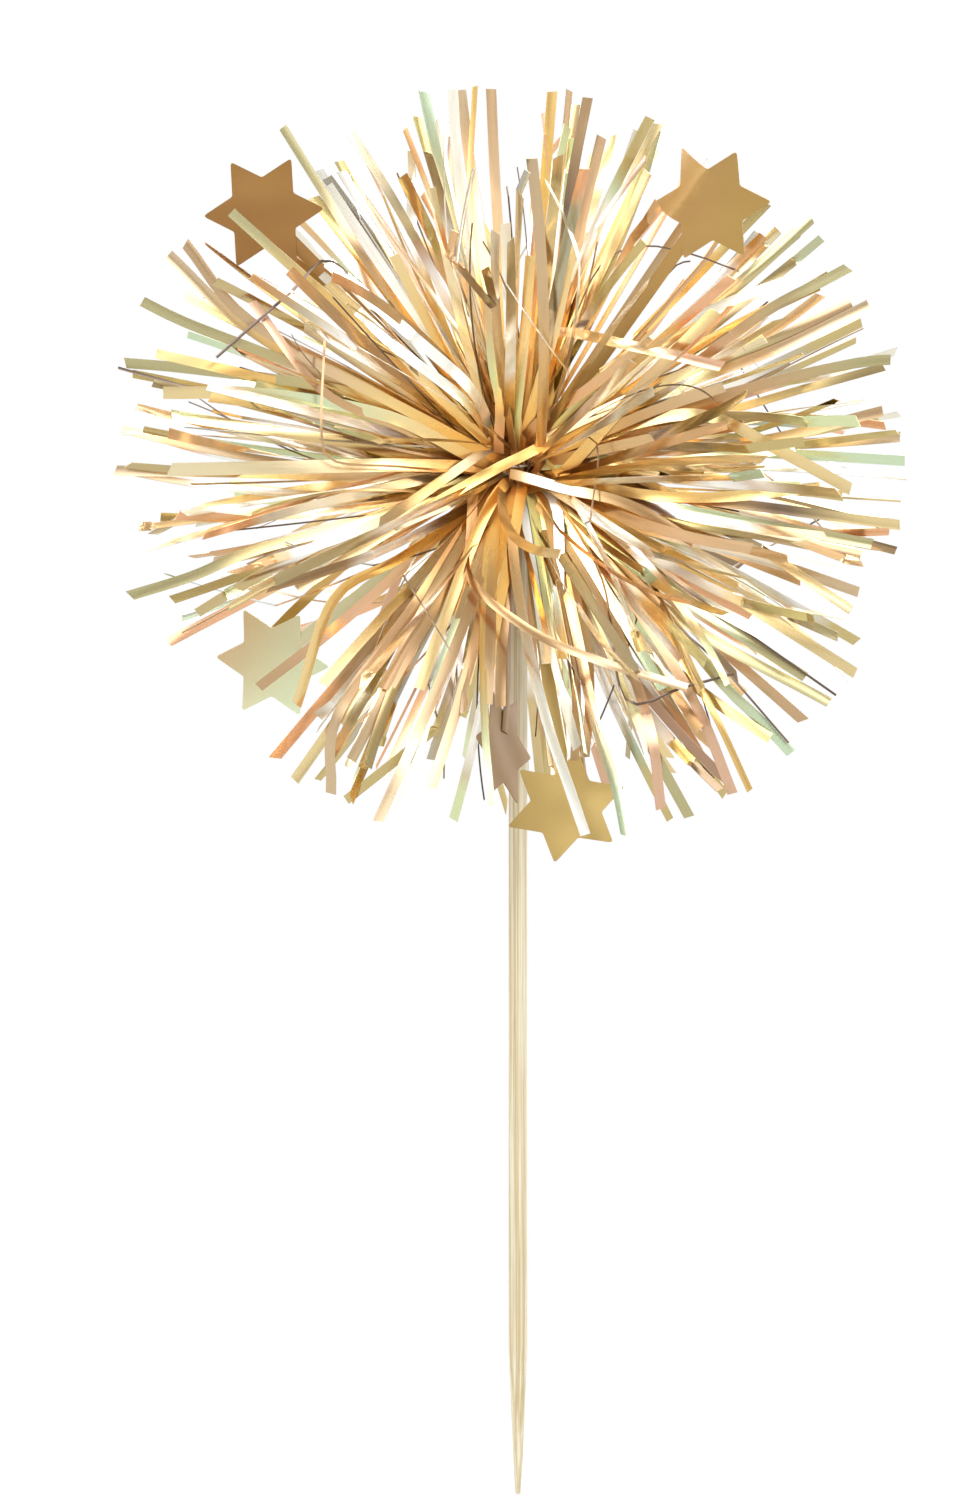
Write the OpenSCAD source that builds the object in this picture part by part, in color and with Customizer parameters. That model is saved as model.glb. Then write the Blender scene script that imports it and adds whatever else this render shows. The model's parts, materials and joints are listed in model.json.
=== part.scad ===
// Tinsel burst on a wooden pick, for a cupcake.
// Foil strips are pinched in hanks round the head of the pick, bound by a few turns of wire,
// and spread into a ball. Five foil stars stand among the strips on stems of the same foil.
// The origin is on the axis of the pick at the cake line, +Z up, lengths in millimetres.

/* [Pick] */
// Length of the pick from its tip to the top of its head
pick_len = 112; // [95:1:150]
// Diameter of the shank
pick_d = 2; // [1.6:0.1:3]
// Length of the sharpened point
point_len = 15.6; // [8:0.1:25]
// Diameter of the blunt tip
tip_d = 0.55; // [0.3:0.05:1]
// Depth of the shoulder where the head is pared down for the tie
shoulder = 0.2; // [0.16:0.02:0.4]
// Length of the head above the middle of the tie
head_above = 2.5; // [0.5:0.1:5]
// Length of the pared head below the middle of the tie
head_below = 6.5; // [5.5:0.1:10]
// Depth that the pick is pushed into the cake
push_depth = 40; // [25:1:50]

/* [Tie] */
// Diameter of the tie wire
wire_d = 0.35; // [0.25:0.05:0.5]
// Turns of wire round the bundle
wire_turns = 3; // [2:1:4]
// Gap between one turn and the next
wire_gap = 0.45; // [0.42:0.01:0.6]

/* [Tinsel] */
// Reach of the longest strips to the sides, from the middle of the tie
reach = 44; // [36:0.1:50]
// Reach of the longest strips straight up and down, from the middle of the tie
crown_reach = 40.6; // [36:0.1:50]
// Share of the reach that the shortest strips lack
reach_spread = 0.25; // [0:0.01:0.3]
// Width of a strip
strip_w = 1.1; // [0.7:0.1:1.3]
// Thickness of a strip
strip_t = 0.08; // [0.05:0.01:0.1]
// Width of a strip where it is pinched
pinch_w = 0.1; // [0.08:0.01:0.12]
// Distance from the middle of the tie at which a strip has opened to its full width
open_r = 10; // [9:0.5:14]
// Rings of strips from the crown to the skirt
ring_count = 15; // [12:1:15]
// Strips in the widest ring
waist_count = 32; // [24:1:32]
// Angle from straight to the front, and to the back, that the strips are combed away from
comb_angle = 26; // [0:1:30]
// Largest bend of a strip to each side, in degrees
kink_angle = 2.4; // [0:0.1:3]
// Largest twist of a strip between two bends, in degrees
twist_angle = 35; // [0:5:40]

/* [Hanks] */
// Hanks in the inner circle, for the crown and the skirt
inner_hanks = 6; // [4:1:6]
// Hanks in the outer circle, for the sides
outer_hanks = 20; // [12:1:20]
// Thickness of a pinched inner hank
inner_t = 0.75; // [0.6:0.05:0.8]
// Thickness of a pinched outer hank
outer_t = 0.4; // [0.3:0.02:0.42]
// Depth of an inner hank, across the pick
inner_depth = 0.7; // [0.6:0.05:1.2]
// Depth of an outer hank, across the pick
outer_depth = 1.2; // [1:0.05:2]
// Height of the swell of a hank above and below the wire
swell = 1.5; // [1:0.1:2]
// Clearance between the pick, the hanks and the wire
seat_gap = 0.06; // [0.04:0.01:0.1]

/* [Stars] */
// Distance from the middle of a star to its points
star_r = 6.55; // [4:0.05:7.5]
// Distance from the middle of a star to its notches
star_notch = 3.8; // [2.5:0.1:4.2]
// Width of a stem
stem_w = 1.4; // [0.8:0.1:1.6]
// Width of a stem where it is pinched
stem_pinch_w = 0.2; // [0.15:0.05:0.3]
// Thickness of the foil of a star
foil_t = 0.1; // [0.06:0.01:0.15]
// Clearance from the end of a stem to the tie
stem_gap = 0.3; // [0.2:0.05:0.4]
// Swing of a star to each side, in degrees
nod_angle = 4; // [2:1:6]

/* [Upper left star] */
// Distance from the middle of the tie to the middle of the star
upper_left_out = 38.9; // [33:0.1:41]
// Lean of the star from straight up, in degrees
upper_left_lean_angle = 44.8; // [40:0.1:50]
// Direction of the lean, in degrees from +X towards +Y
upper_left_way_angle = 173.7; // [165:0.1:180]
// Turn of the star in its own plane, in degrees
upper_left_turn_angle = -11; // [-30:1:30]

/* [Upper right star] */
// Distance from the middle of the tie to the middle of the star
upper_right_out = 36; // [32:0.1:41]
// Lean of the star from straight up, in degrees
upper_right_lean_angle = 39.9; // [36:0.1:46]
// Direction of the lean, in degrees from +X towards +Y
upper_right_way_angle = -28.5; // [-36:0.1:-20]
// Turn of the star in its own plane, in degrees
upper_right_turn_angle = 9; // [-30:1:30]

/* [Lower left star] */
// Distance from the middle of the tie to the middle of the star
lower_left_out = 36.4; // [32:0.1:41]
// Lean of the star from straight up, in degrees
lower_left_lean_angle = 124.3; // [118:0.1:130]
// Direction of the lean, in degrees from +X towards +Y
lower_left_way_angle = 152.2; // [145:0.1:160]
// Turn of the star in its own plane, in degrees
lower_left_turn_angle = 20; // [-30:1:30]

/* [Lower front star] */
// Distance from the middle of the tie to the middle of the star
lower_front_out = 39.7; // [38:0.1:42]
// Lean of the star from straight up, in degrees
lower_front_lean_angle = 155; // [152:0.1:158]
// Direction of the lean, in degrees from +X towards +Y
lower_front_way_angle = -72.7; // [-76:0.1:-66]
// Turn of the star in its own plane, in degrees
lower_front_turn_angle = -18; // [-30:1:30]

/* [Star beside the pick] */
// Distance from the middle of the tie to the middle of the star
lower_pick_out = 31.1; // [29:0.1:33]
// Lean of the star from straight up, in degrees
lower_pick_lean_angle = 163.1; // [162:0.1:164]
// Direction of the lean, in degrees from +X towards +Y
lower_pick_way_angle = -100; // [-104:0.1:-97]
// Turn of the star in its own plane, in degrees
lower_pick_turn_angle = -25; // [-30:1:30]
// Twist of its stem, which turns the face of the star from the front, in degrees
lower_pick_twist_angle = -63; // [-70:1:-50]

/* [Hidden] */
$fn = 64;
gold = [0.79, 0.63, 0.31];
copper = [0.78, 0.58, 0.42];
bamboo = [0.90, 0.85, 0.70];
steel = [0.75, 0.75, 0.77];

STARS = ["upper_left", "upper_right", "lower_left", "lower_front", "lower_pick"];
star_out = [upper_left_out, upper_right_out, lower_left_out, lower_front_out, lower_pick_out];
star_lean = [
    upper_left_lean_angle, upper_right_lean_angle, lower_left_lean_angle,
    lower_front_lean_angle, lower_pick_lean_angle
];
star_way = [
    upper_left_way_angle, upper_right_way_angle, lower_left_way_angle,
    lower_front_way_angle, lower_pick_way_angle
];
star_turn = [
    upper_left_turn_angle, upper_right_turn_angle, lower_left_turn_angle,
    lower_front_turn_angle, lower_pick_turn_angle
];
star_twist = [0, 0, 0, 0, lower_pick_twist_angle];

// Radii of the bundle, from the head of the pick outwards
shank_r = pick_d / 2;
head_r = shank_r - shoulder;
inner_in = head_r + seat_gap;
inner_out = inner_in + inner_depth;
outer_in = inner_out + seat_gap;
outer_out = outer_in + outer_depth;
groove_r = outer_out - wire_d;

// Heights from the middle of the tie
tie_z = pick_len - push_depth - head_above;
wire_pitch = wire_d + wire_gap;
groove_h = (wire_turns * wire_pitch + wire_d) / 2 + 2 * seat_gap;
crown_step = 0.5;
inner_swell = inner_depth;
inner_straight = groove_h + swell + crown_step - inner_swell;

// Circle that the wire follows
wire_r = norm([groove_r, outer_t / 2]) + wire_d / 2 + seat_gap;
wire_sides = 6;
wire_steps = 24;

// Polar angles of the strips, from straight up
first_angle = 7;
crown_angle = 35;
// Angles from straight down, along the pick
pick_angle = 16;
skirt_angle = 33;
step_angle = (180 - pick_angle - first_angle) / (ring_count - 1);

// Share of a strip's own cell that its direction strays by
stray = 0.1;
// Depth of a pinched end inside its hank, as a share of the swell
root_share = 0.75;
// Turn along the swell to the first root, in degrees
root_angle = 15;
// Least height of a root above the groove of the wire
root_edge = 0.04;
// Turn along the swell from the first root to the last
root_span = acos(root_edge / (root_share * swell)) - root_angle;
// Where a bent strip bends, and how far its cut end goes beyond the middle line, as shares
bend_share = 0.6;
tip_share = 0.5;

// Points that repeat without ever lining up: an even scatter from 0 to 1
golden = (sqrt(5) - 1) / 2;
root_two = sqrt(2) - 1;
root_three = sqrt(3) - 1;
root_seven = sqrt(7) - 2;
function scatter(i, step) = i * step - floor(i * step);
function either_way(i, step) = 2 * scatter(i, step) - 1;

// Directions
function unit(v) = v / norm(v);
function aim(polar, azimuth) = [sin(polar) * cos(azimuth), sin(polar) * sin(azimuth), cos(polar)];
function angle_between(a, b) = acos(min(1, max(-1, unit(a) * unit(b))));
function folded(polar) = min(polar, 180 - polar);

// A direction moved away from straight to the front or the back, as if combed aside
function combed(v) =
    let(
        aside = [v[0], 0, v[2]],
        away = norm(aside) < 0.001 ? [0, 0, 1] : unit(aside),
        angle = comb_angle + acos(abs(v[1])) * (1 - comb_angle / 90)
    )
    away * sin(angle) + [0, sign(v[1]) * cos(angle), 0];

// Strips: ring number and place in the ring, and from these the direction
function ring_polar(ring) = first_angle + ring * step_angle;
function ring_strips(ring) = round(waist_count * sin(ring_polar(ring)));
strips = [
    for (ring = [0:ring_count - 1])
        for (place = [0:ring_strips(ring) - 1]) [ring, place]
];
function strip_polar(i) = ring_polar(strips[i][0]) + stray * step_angle * either_way(i, golden);
function strip_azimuth(i) =
    let(ring = strips[i][0], place = strips[i][1] + (ring % 2) / 2 + stray * either_way(i, root_two))
    360 * place / ring_strips(ring);
function strip_aim(i) = combed(aim(strip_polar(i), strip_azimuth(i)));
function is_inner(polar) = polar < crown_angle || polar > 180 - skirt_angle;
function in_inner(i) = is_inner(ring_polar(strips[i][0]));

// Lanes of the stars: no strip in the path of a stem, and short strips below a star
lane_gap = 1.5;
lane_angle = 1;
stem_angle = 9;
function star_aim(k) = aim(star_lean[k], star_way[k]);
function star_at(k) = star_out[k] * star_aim(k);
function star_lane(k) = atan((star_r + strip_w) / star_out[k]) + kink_angle + lane_angle;
function off_star(i, k) = angle_between(strip_aim(i), star_aim(k));
function is_clear(i) = min([for (k = [0:len(STARS) - 1]) off_star(i, k)]) > nod_angle + stem_angle;
function strip_reach(i) =
    let(
        polar = strip_polar(i),
        longest = 1 / norm([sin(polar) / reach, cos(polar) / crown_reach]),
        own = longest * (1 - reach_spread * scatter(i, root_three))
    )
    min(concat([own], [
        for (k = [0:len(STARS) - 1])
            off_star(i, k) < star_lane(k) ? star_out[k] - star_r - lane_gap : own
    ]));

// Hanks: the strips of each, by azimuth
function nearest_hank(i, hanks) = round(strip_azimuth(i) * hanks / 360) % hanks;
function hank_strips(k, inner) = [
    for (i = [0:len(strips) - 1])
        if (is_clear(i) && in_inner(i) == inner && nearest_hank(i, inner ? inner_hanks : outer_hanks) == k) i
];

// Place in a hank's own plane, out from the axis and up, of the root for a polar angle
function swell_turn(polar) =
    let(widest = is_inner(polar) ? crown_angle : 90)
    root_angle + root_span * folded(polar) / widest;
function root_place(polar, share) =
    let(
        inner = is_inner(polar),
        turn = swell_turn(polar),
        from = inner ? inner_in : outer_in,
        depth = inner ? inner_depth : outer_depth,
        straight = inner ? inner_straight : groove_h,
        high = inner ? inner_swell : swell
    )
    [from + share * depth * sin(turn), (polar < 90 ? 1 : -1) * (straight + share * high * cos(turn))];

// A pinched end lies in its hank, moved sideways towards its own azimuth
function strip_root(i) =
    let(
        inner = in_inner(i),
        hanks = inner ? inner_hanks : outer_hanks,
        middle = round(strip_azimuth(i) * hanks / 360) * 360 / hanks,
        room = ((inner ? inner_t : outer_t) - pinch_w) / 2,
        aside = (strip_azimuth(i) - middle) / (180 / hanks) * room,
        place = root_place(ring_polar(strips[i][0]), root_share)
    )
    [
        place[0] * cos(middle) - aside * sin(middle),
        place[0] * sin(middle) + aside * cos(middle),
        place[1]
    ];

// Middle line of a strip: pinched end, opening, bend, cut end
function bent_aim(i, share) =
    combed(aim(
        strip_polar(i) + share * kink_angle * either_way(i, root_seven),
        strip_azimuth(i) + share * kink_angle * either_way(i + 1, root_seven) / sin(strip_polar(i))
    ));
function strip_line(i) =
    let(far = strip_reach(i))
    concat(
        [strip_root(i), open_r * strip_aim(i)],
        i % 2 == 0 ? [bend_share * far * bent_aim(i, 1)] : [],
        [far * bent_aim(i, i % 2 == 0 ? -tip_share : tip_share)]
    );

// Corners of a flat section across a line, wide along one side and thin along the other
function flat_section(at, along, roll, wide, thin) =
    let(
        level = unit(cross(abs(along[2]) > 0.99 ? [0, 1, 0] : [0, 0, 1], along)),
        upright = cross(along, level),
        side = level * cos(roll) + upright * sin(roll),
        face = cross(along, side)
    )
    [
        at + side * wide / 2 + face * thin / 2,
        at - side * wide / 2 + face * thin / 2,
        at - side * wide / 2 - face * thin / 2,
        at + side * wide / 2 - face * thin / 2
    ];

// Triangles over a row of sections: two ends, and the sides with the same cut on both wide faces
function skin(sections, sides) =
    let(last = sides * (sections - 1))
    concat(
        [for (s = [1:sides - 2]) [0, s, s + 1]],
        [for (s = [1:sides - 2]) [last, last + s + 1, last + s]],
        [
            for (r = [0:sections - 2], s = [0:sides - 1], half = [0, 1])
                let(
                    a = r * sides + s,
                    b = r * sides + (s + 1) % sides,
                    c = b + sides,
                    d = a + sides
                )
                s < sides / 2 ? (half == 0 ? [a, d, c] : [a, c, b]) : (half == 0 ? [a, d, b] : [d, c, b])
        ]
    );

module strip(i) {
    line = strip_line(i);
    last = len(line) - 1;
    start_roll = 180 * scatter(i, root_two);
    points = [
        for (p = [0:last])
            let(
                along = unit(line[min(p + 1, last)] - line[max(p - 1, 0)]),
                roll = start_roll + twist_angle * p * either_way(i, golden)
            )
            each flat_section(line[p], along, roll, p == 0 ? pinch_w : strip_w, strip_t)
    ];
    polyhedron(points, skin(len(line), 4));
}

// Pinched middle of a hank: a flat stack of strips, swelling above and below the wire
module hank_middle(azimuth, thick, from, depth, straight, high, waist) {
    top = [for (turn = [0:15:90]) [from + depth * sin(turn), straight + high * cos(turn)]];
    bottom = [for (p = [len(top) - 1:-1:0]) [top[p][0], -top[p][1]]];
    groove = waist < from + depth ? [[waist, straight], [waist, -straight]] : [];
    rotate([0, 0, azimuth])
        translate([0, thick / 2, 0])
            rotate([90, 0, 0])
                linear_extrude(thick) polygon(concat(top, groove, bottom));
}

module tinsel_inner(k) {
    color(copper) translate([0, 0, tie_z]) {
        hank_middle(
            360 * k / inner_hanks, inner_t, inner_in, inner_depth, inner_straight, inner_swell, inner_out
        );
        for (i = hank_strips(k, true)) strip(i);
    }
}

module tinsel_outer(k) {
    color(gold) translate([0, 0, tie_z]) {
        hank_middle(360 * k / outer_hanks, outer_t, outer_in, outer_depth, groove_h, swell, groove_r);
        for (i = hank_strips(k, false)) strip(i);
    }
}

// Pick: blunt tip, slightly full point, straight shank, pared head
module pick() {
    tip_r = tip_d / 2;
    fullness = 0.8;
    head_edge = 0.1;
    point = [
        for (u = [0:0.125:1]) [tip_r + (shank_r - tip_r) * pow(u, fullness), point_len * u - push_depth]
    ];
    color(bamboo) rotate_extrude() polygon(concat(
        [[0, -push_depth]],
        point,
        [
            [shank_r, tie_z - head_below - shoulder],
            [head_r, tie_z - head_below],
            [head_r, tie_z + head_above - head_edge],
            [head_r - head_edge, tie_z + head_above],
            [0, tie_z + head_above]
        ]
    ));
}

// Tie: one wire in even turns, with straight ends as long as the wire is thick
function wire_at(turn) = [
    wire_r * cos(360 * turn), wire_r * sin(360 * turn), wire_pitch * (turn - wire_turns / 2)
];
function wire_along(turn) =
    unit([-2 * PI * wire_r * sin(360 * turn), 2 * PI * wire_r * cos(360 * turn), wire_pitch]);
wire_line = concat(
    [wire_at(0) - wire_d * wire_along(0)],
    [for (s = [0:wire_turns * wire_steps]) wire_at(s / wire_steps)],
    [wire_at(wire_turns) + wire_d * wire_along(wire_turns)]
);
function wire_section(p) =
    let(
        turn = min(max(p - 1, 0), wire_turns * wire_steps) / wire_steps,
        out = [cos(360 * turn), sin(360 * turn), 0],
        up = cross(wire_along(turn), out)
    )
    [
        for (s = [0:wire_sides - 1])
            let(a = 360 * s / wire_sides)
            wire_line[p] + wire_d / 2 * (out * cos(a) + up * sin(a))
    ];
wire_points = [for (p = [0:len(wire_line) - 1]) wire_section(p)];
wire_least_gap = min([
    for (p = [0:wire_steps * (wire_turns - 1)], turn_on = [-2:2])
        let(q = min(p + wire_steps + turn_on, len(wire_line) - 1))
        min([for (a = wire_points[p], b = wire_points[q]) norm(a - b)])
]);
echo(wire_least_gap = wire_least_gap);

module tie_wire() {
    points = [for (section = wire_points) each section];
    color(steel) translate([0, 0, tie_z]) polyhedron(points, skin(len(wire_line), wire_sides));
}

// Stars: hinge line of the stem at the tie, direction of the stem, and the face, which looks to the
// front unless the stem is twisted
function star_root(k) =
    let(
        lean = star_lean[k],
        turn = swell_turn(lean),
        place = root_place(lean, 1) + stem_gap * [sin(turn), (lean < 90 ? 1 : -1) * cos(turn)]
    )
    [place[0] * cos(star_way[k]), place[0] * sin(star_way[k]), place[1]];
function stem_aim(k) = unit(star_at(k) - star_root(k));
function front_face(k) = let(front = [0, -1, 0]) unit(front - (front * stem_aim(k)) * stem_aim(k));
function star_face(k) =
    front_face(k) * cos(star_twist[k]) + cross(stem_aim(k), front_face(k)) * sin(star_twist[k]);
for (k = [0:len(STARS) - 1])
    echo(star = STARS[k], hinge = star_root(k) + [0, 0, tie_z], axis = cross(star_face(k), stem_aim(k)));

module star(k) {
    long = norm(star_at(k) - star_root(k));
    out = stem_aim(k);
    tilt = -asin(out[2]);
    pan = atan2(out[1], out[0]);
    level = [-sin(pan), cos(pan), 0];
    upright = cross(out, level);
    roll = atan2(-star_face(k) * level, star_face(k) * upright);
    outline = [
        for (corner = [0:11])
            let(r = corner % 2 == 0 ? star_r : star_notch, a = 30 * corner)
            [r * cos(a), r * sin(a)]
    ];
    stem = [
        [0, -stem_pinch_w / 2],
        [open_r, -stem_w / 2],
        [long - star_notch / 2, -stem_w / 2],
        [long - star_notch / 2, stem_w / 2],
        [open_r, stem_w / 2],
        [0, stem_pinch_w / 2]
    ];
    color(gold)
        translate(star_root(k) + [0, 0, tie_z])
            rotate([roll, tilt, pan])
                translate([0, 0, -foil_t / 2])
                    linear_extrude(foil_t) {
                        polygon(stem);
                        translate([long, 0]) rotate(star_turn[k]) polygon(outline);
                    }
}

pick();
tie_wire();
for (k = [0:inner_hanks - 1])
    tinsel_inner(k);
for (k = [0:outer_hanks - 1])
    tinsel_outer(k);
for (k = [0:len(STARS) - 1])
    star(k);
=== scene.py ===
# Looks of a tinsel burst on a wooden pick: cut foil strips, foil stars on stems, a tie wire and a
# bamboo pick. Lengths are in millimetres from the middle of the tie, and MM turns them into metres.
# Angles are in degrees. A spread is the standard deviation of a random value.
import json
import math

import bpy
import numpy as np
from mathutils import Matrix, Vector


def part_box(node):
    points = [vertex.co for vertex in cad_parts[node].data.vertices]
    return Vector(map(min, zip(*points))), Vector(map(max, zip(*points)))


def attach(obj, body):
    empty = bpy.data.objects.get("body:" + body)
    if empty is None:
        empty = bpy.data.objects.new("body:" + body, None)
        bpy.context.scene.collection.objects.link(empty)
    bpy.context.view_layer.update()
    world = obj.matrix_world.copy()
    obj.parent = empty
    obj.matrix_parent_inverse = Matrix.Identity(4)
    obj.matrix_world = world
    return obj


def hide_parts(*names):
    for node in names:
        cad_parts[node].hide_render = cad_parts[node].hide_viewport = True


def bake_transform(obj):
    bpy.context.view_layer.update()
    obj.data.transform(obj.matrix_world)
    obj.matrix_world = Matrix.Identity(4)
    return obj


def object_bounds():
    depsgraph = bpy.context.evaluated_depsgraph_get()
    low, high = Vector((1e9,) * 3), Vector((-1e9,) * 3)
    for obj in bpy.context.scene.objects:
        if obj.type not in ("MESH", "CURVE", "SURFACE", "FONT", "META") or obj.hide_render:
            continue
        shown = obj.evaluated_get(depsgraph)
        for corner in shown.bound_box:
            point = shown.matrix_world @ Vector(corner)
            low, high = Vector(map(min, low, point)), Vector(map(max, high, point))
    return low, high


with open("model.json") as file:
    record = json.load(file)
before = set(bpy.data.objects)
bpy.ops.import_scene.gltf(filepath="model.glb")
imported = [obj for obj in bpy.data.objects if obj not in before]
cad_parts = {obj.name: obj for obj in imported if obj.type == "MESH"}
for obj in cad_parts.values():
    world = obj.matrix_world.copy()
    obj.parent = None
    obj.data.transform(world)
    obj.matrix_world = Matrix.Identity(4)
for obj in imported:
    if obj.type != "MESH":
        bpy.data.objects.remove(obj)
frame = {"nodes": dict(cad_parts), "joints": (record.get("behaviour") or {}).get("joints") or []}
cad_low, cad_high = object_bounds()

MM = 0.001
SEED = 27
rng = np.random.default_rng(SEED)
UP = np.array((0.0, 0.0, 1.0))
DEPTH = np.array((0.0, 1.0, 0.0))
LEVEL = 1 - UP
IN_PICTURE = 1 - DEPTH
TINY = 1e-6

# The photograph: its size in pixels, pixels to a millimetre, and the pixel of the middle of the tie
PHOTO_W, PHOTO_H = 953, 1500
PX_PER_MM = 9.353
TIE_PX = (518.0, 469.0)
CAMERA_AWAY = 1000.0
SENSOR = 36.0

# The tie, from its solid
wire_low, wire_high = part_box("tie_wire")
TIE_Z = (wire_low.z + wire_high.z) / 2 / MM
WIRE_D = 0.35
WIRE_TURNS = 3
WIRE_R = (wire_high.x - wire_low.x) / 2 / MM - WIRE_D / 2
WIRE_PITCH = 0.8
WIRE_SIDES = 12
WIRE_STEPS = 48
WIRE_STEP = 0.36
WIRE_TINT = "C9C9CC"
GROOVE_H = 1.5

# Foil strips: number and size, the ball that they are trimmed to, and the hanks that hold them
STRIP_COUNT = 305
STRIP_W = 1.1
STRIP_T = 0.05
PINCH_W = 0.7
OPEN_R = 4.2
REACH = 43.2
CROWN_REACH = 40.6
TOP_ANGLE = 4.0
SKIRT_ANGLE = 165.0
SKIRT_ROOM = 3.0
INNER_TOP_ANGLE = 35.0
INNER_SKIRT_ANGLE = 147.0
INNER_HANKS = 6
OUTER_HANKS = 20
INNER_ROOTS = (0.95, 1.5)
OUTER_ROOTS = (1.65, 2.4)
HANK_FILL = 0.8
UP_SPREAD = 0.3

# How a strip is made: points across it and along it, its bends, twist to a millimetre, cup and cut end
LANES = 5
STEP = 1.9
CREASE = 0.22
CREASE_PLACES = (0.08, 0.92)
CREASE_ROLL_SPREAD = 22.0
CUT_ROOM = 0.7
CUT_SPREAD = 18.0
CUP_SPREAD = 0.025
TWIST_SPREAD = 1.4
NECK_POINTS = 8
UNTRIMMED = 1.4
FOLD_ANGLE = 40.0
LOOSE_SHARE = 0.3
STAND_SPREAD = 32.0
NEAR_UPRIGHT = 0.05

# Random strips, slivers and threads: length as a share of the ball, width, creases, curl to a
# millimetre, and how far they stray from an even spread
FULL_SHARE, FULL_SPREAD = 0.8, 0.08
SHORT_LENGTHS = (0.65, 0.95)
STRIP_WIDTHS = (0.85, 1.08)
CREASE_SHARES = (0.2, 0.35, 0.3, 0.15)
CREASE_ANGLES, CREASE_ANGLE_SHARES = (6.0, 14.0), (0.7, 0.3)
CURL_SPREAD, CURL_LIMIT = 0.5, 0.9
STRIP_STRAY = 8.0
FINE_STRAY = 6.0
TRIES, TRIES_TO_DOUBLE = 30, 10
SLIVER_COUNT = 45
SLIVER_LENGTHS = (0.6, 1.0)
SLIVER_WIDTHS = (0.2, 0.45)
SLIVER_CREASE = 10.0
SLIVER_LANES = 3
THREAD_COUNT = 80
THREAD_LENGTHS = (0.55, 1.0)
THREAD_W = 0.18
THREAD_CREASE = 24.0
THREAD_CURL_SPREAD, THREAD_CURL_LIMIT = 1.0, 1.5
THREAD_LANES = 2

# Strips near the front and the back lie combed flat over the tie, and few stand straight out
COMBED_CONE = 50.0
COMBED_LEANS = (42.0, 80.0)
COMBED_SPREAD = 0.15
FRONT_STANDING_SHARE = 0.15
BACK_STANDING_SHARE = 0.55
STANDING_CONE = 16.0
NECK_STRAY = 18.0
COMBED_STRAY = 50.0
COMBED_TILT = 20.0

# Placed strips: where they leave the tie, the shares of length that hold tints, and small spreads
PLACED_ROOT_R = 2.1
PLACED_TINT_ENDS = (0.1, 0.9)
PLACED_TILT_SPREAD = 3.0
PLACED_ROLL_SPREAD = 12.0
PLACED_CUP_SPREAD = 0.02
PLACED_CUT_SPREAD = 14.0

# Stars: their shape, the solids' own places, and the turn, bow, fold and two tints of each
STAR_R = 6.55
STAR_NOTCH = 3.8
STAR_T = 0.1
STAR_CORNERS = 12
POINT_ROUND, NOTCH_ROUND = 0.48, 0.24
ROUND_POINTS = 5
EDGE_SHARES = (0.25, 0.5, 0.75)
STAR_RINGS = 10
RING_POWER = 1.2
BOW_ALONG, BOW_ACROSS, BOW_LEVEL = 0.8, 0.6, 0.3
DENT = 0.05
DENT_ALONG, DENT_ACROSS, DENT_START, DENT_TURN = 0.9, 0.8, 1.3, 9.0
FOLD_START, FOLD_RATE, FOLD_POWER = 2.2, 0.55, 1.5
# How a star's two tints blend across it, as a painted reflection
STAR_REFLECTION_ALONG, STAR_REFLECTION_ACROSS = 0.25, 0.9
STARS = {
    "upper_left": dict(out=38.9, lean=44.8, way=173.7, turn=-11, bow=0.15, tints=("8A6438", "8E6A3B")),
    "upper_right": dict(out=36, lean=39.9, way=-28.5, turn=9, bow=0.5, fold=1.0, tints=("B7935F", "AF9156")),
    "lower_left": dict(out=36.4, lean=124.3, way=152.2, turn=20, bow=0.6, tints=("DAE5C0", "C9AF83")),
    "lower_front": dict(out=39.7, lean=155.0, way=-72.7, turn=-18, bow=0.25, tints=("C6AC70", "9F8751")),
    "lower_pick": dict(out=31.1, lean=163.1, way=-100.0, turn=-25, bow=0.2, tints=("967A53", "907246")),
}
NOD_ANGLE = 4.0
LANE_GAP = 0.4
HIDE_MARGIN = 1.0

# Stems of the stars: pinched at the tie, waved along, and bent over a short length beside the tie
STEM_W = 1.4
STEM_PINCH_W = 0.2
STEM_OPEN_R = 10.0
STEM_ROOT_R = 2.2
STEM_START = 1.0
STEM_END = 0.4
STEM_WAVE, STEM_WAVE_RATE = 0.12, 0.35
STEM_CUP = 0.04

# Tints of the foil, which render about as the photograph shows them, and how common each is
# The white tint is a painted highlight, not a tint of the foil
TINTS = dict(
    gold="F6D391", pale_gold="F8DDA8", champagne="FBEACA", amber="F3C272", bronze="CFA676", rose="ECB98F",
    green="DCE3B2", silver="F6EEDF", tan="E0BC8C", olive="CBB880", dark="7A6450", white="FFFCF5",
)
THREAD_SHARES = dict(bronze=0.35, silver=0.15, dark=0.5)
INNER_SHARES = dict(
    gold=0.3, pale_gold=0.22, champagne=0.16, amber=0.1,
    tan=0.08, bronze=0.03, rose=0.06, green=0.05,
)
OUTER_SHARES = dict(
    gold=0.2, pale_gold=0.22, champagne=0.22, amber=0.06, tan=0.06,
    bronze=0.04, rose=0.08, green=0.08, silver=0.04,
)
# How much of another tint a stretch of a strip takes, and how common that is
TINT_MIXES, TINT_MIX_SHARES = (0.0, 0.4, 1.0), (0.4, 0.2, 0.4)
SHADES = (0.5, 1.04)
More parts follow.
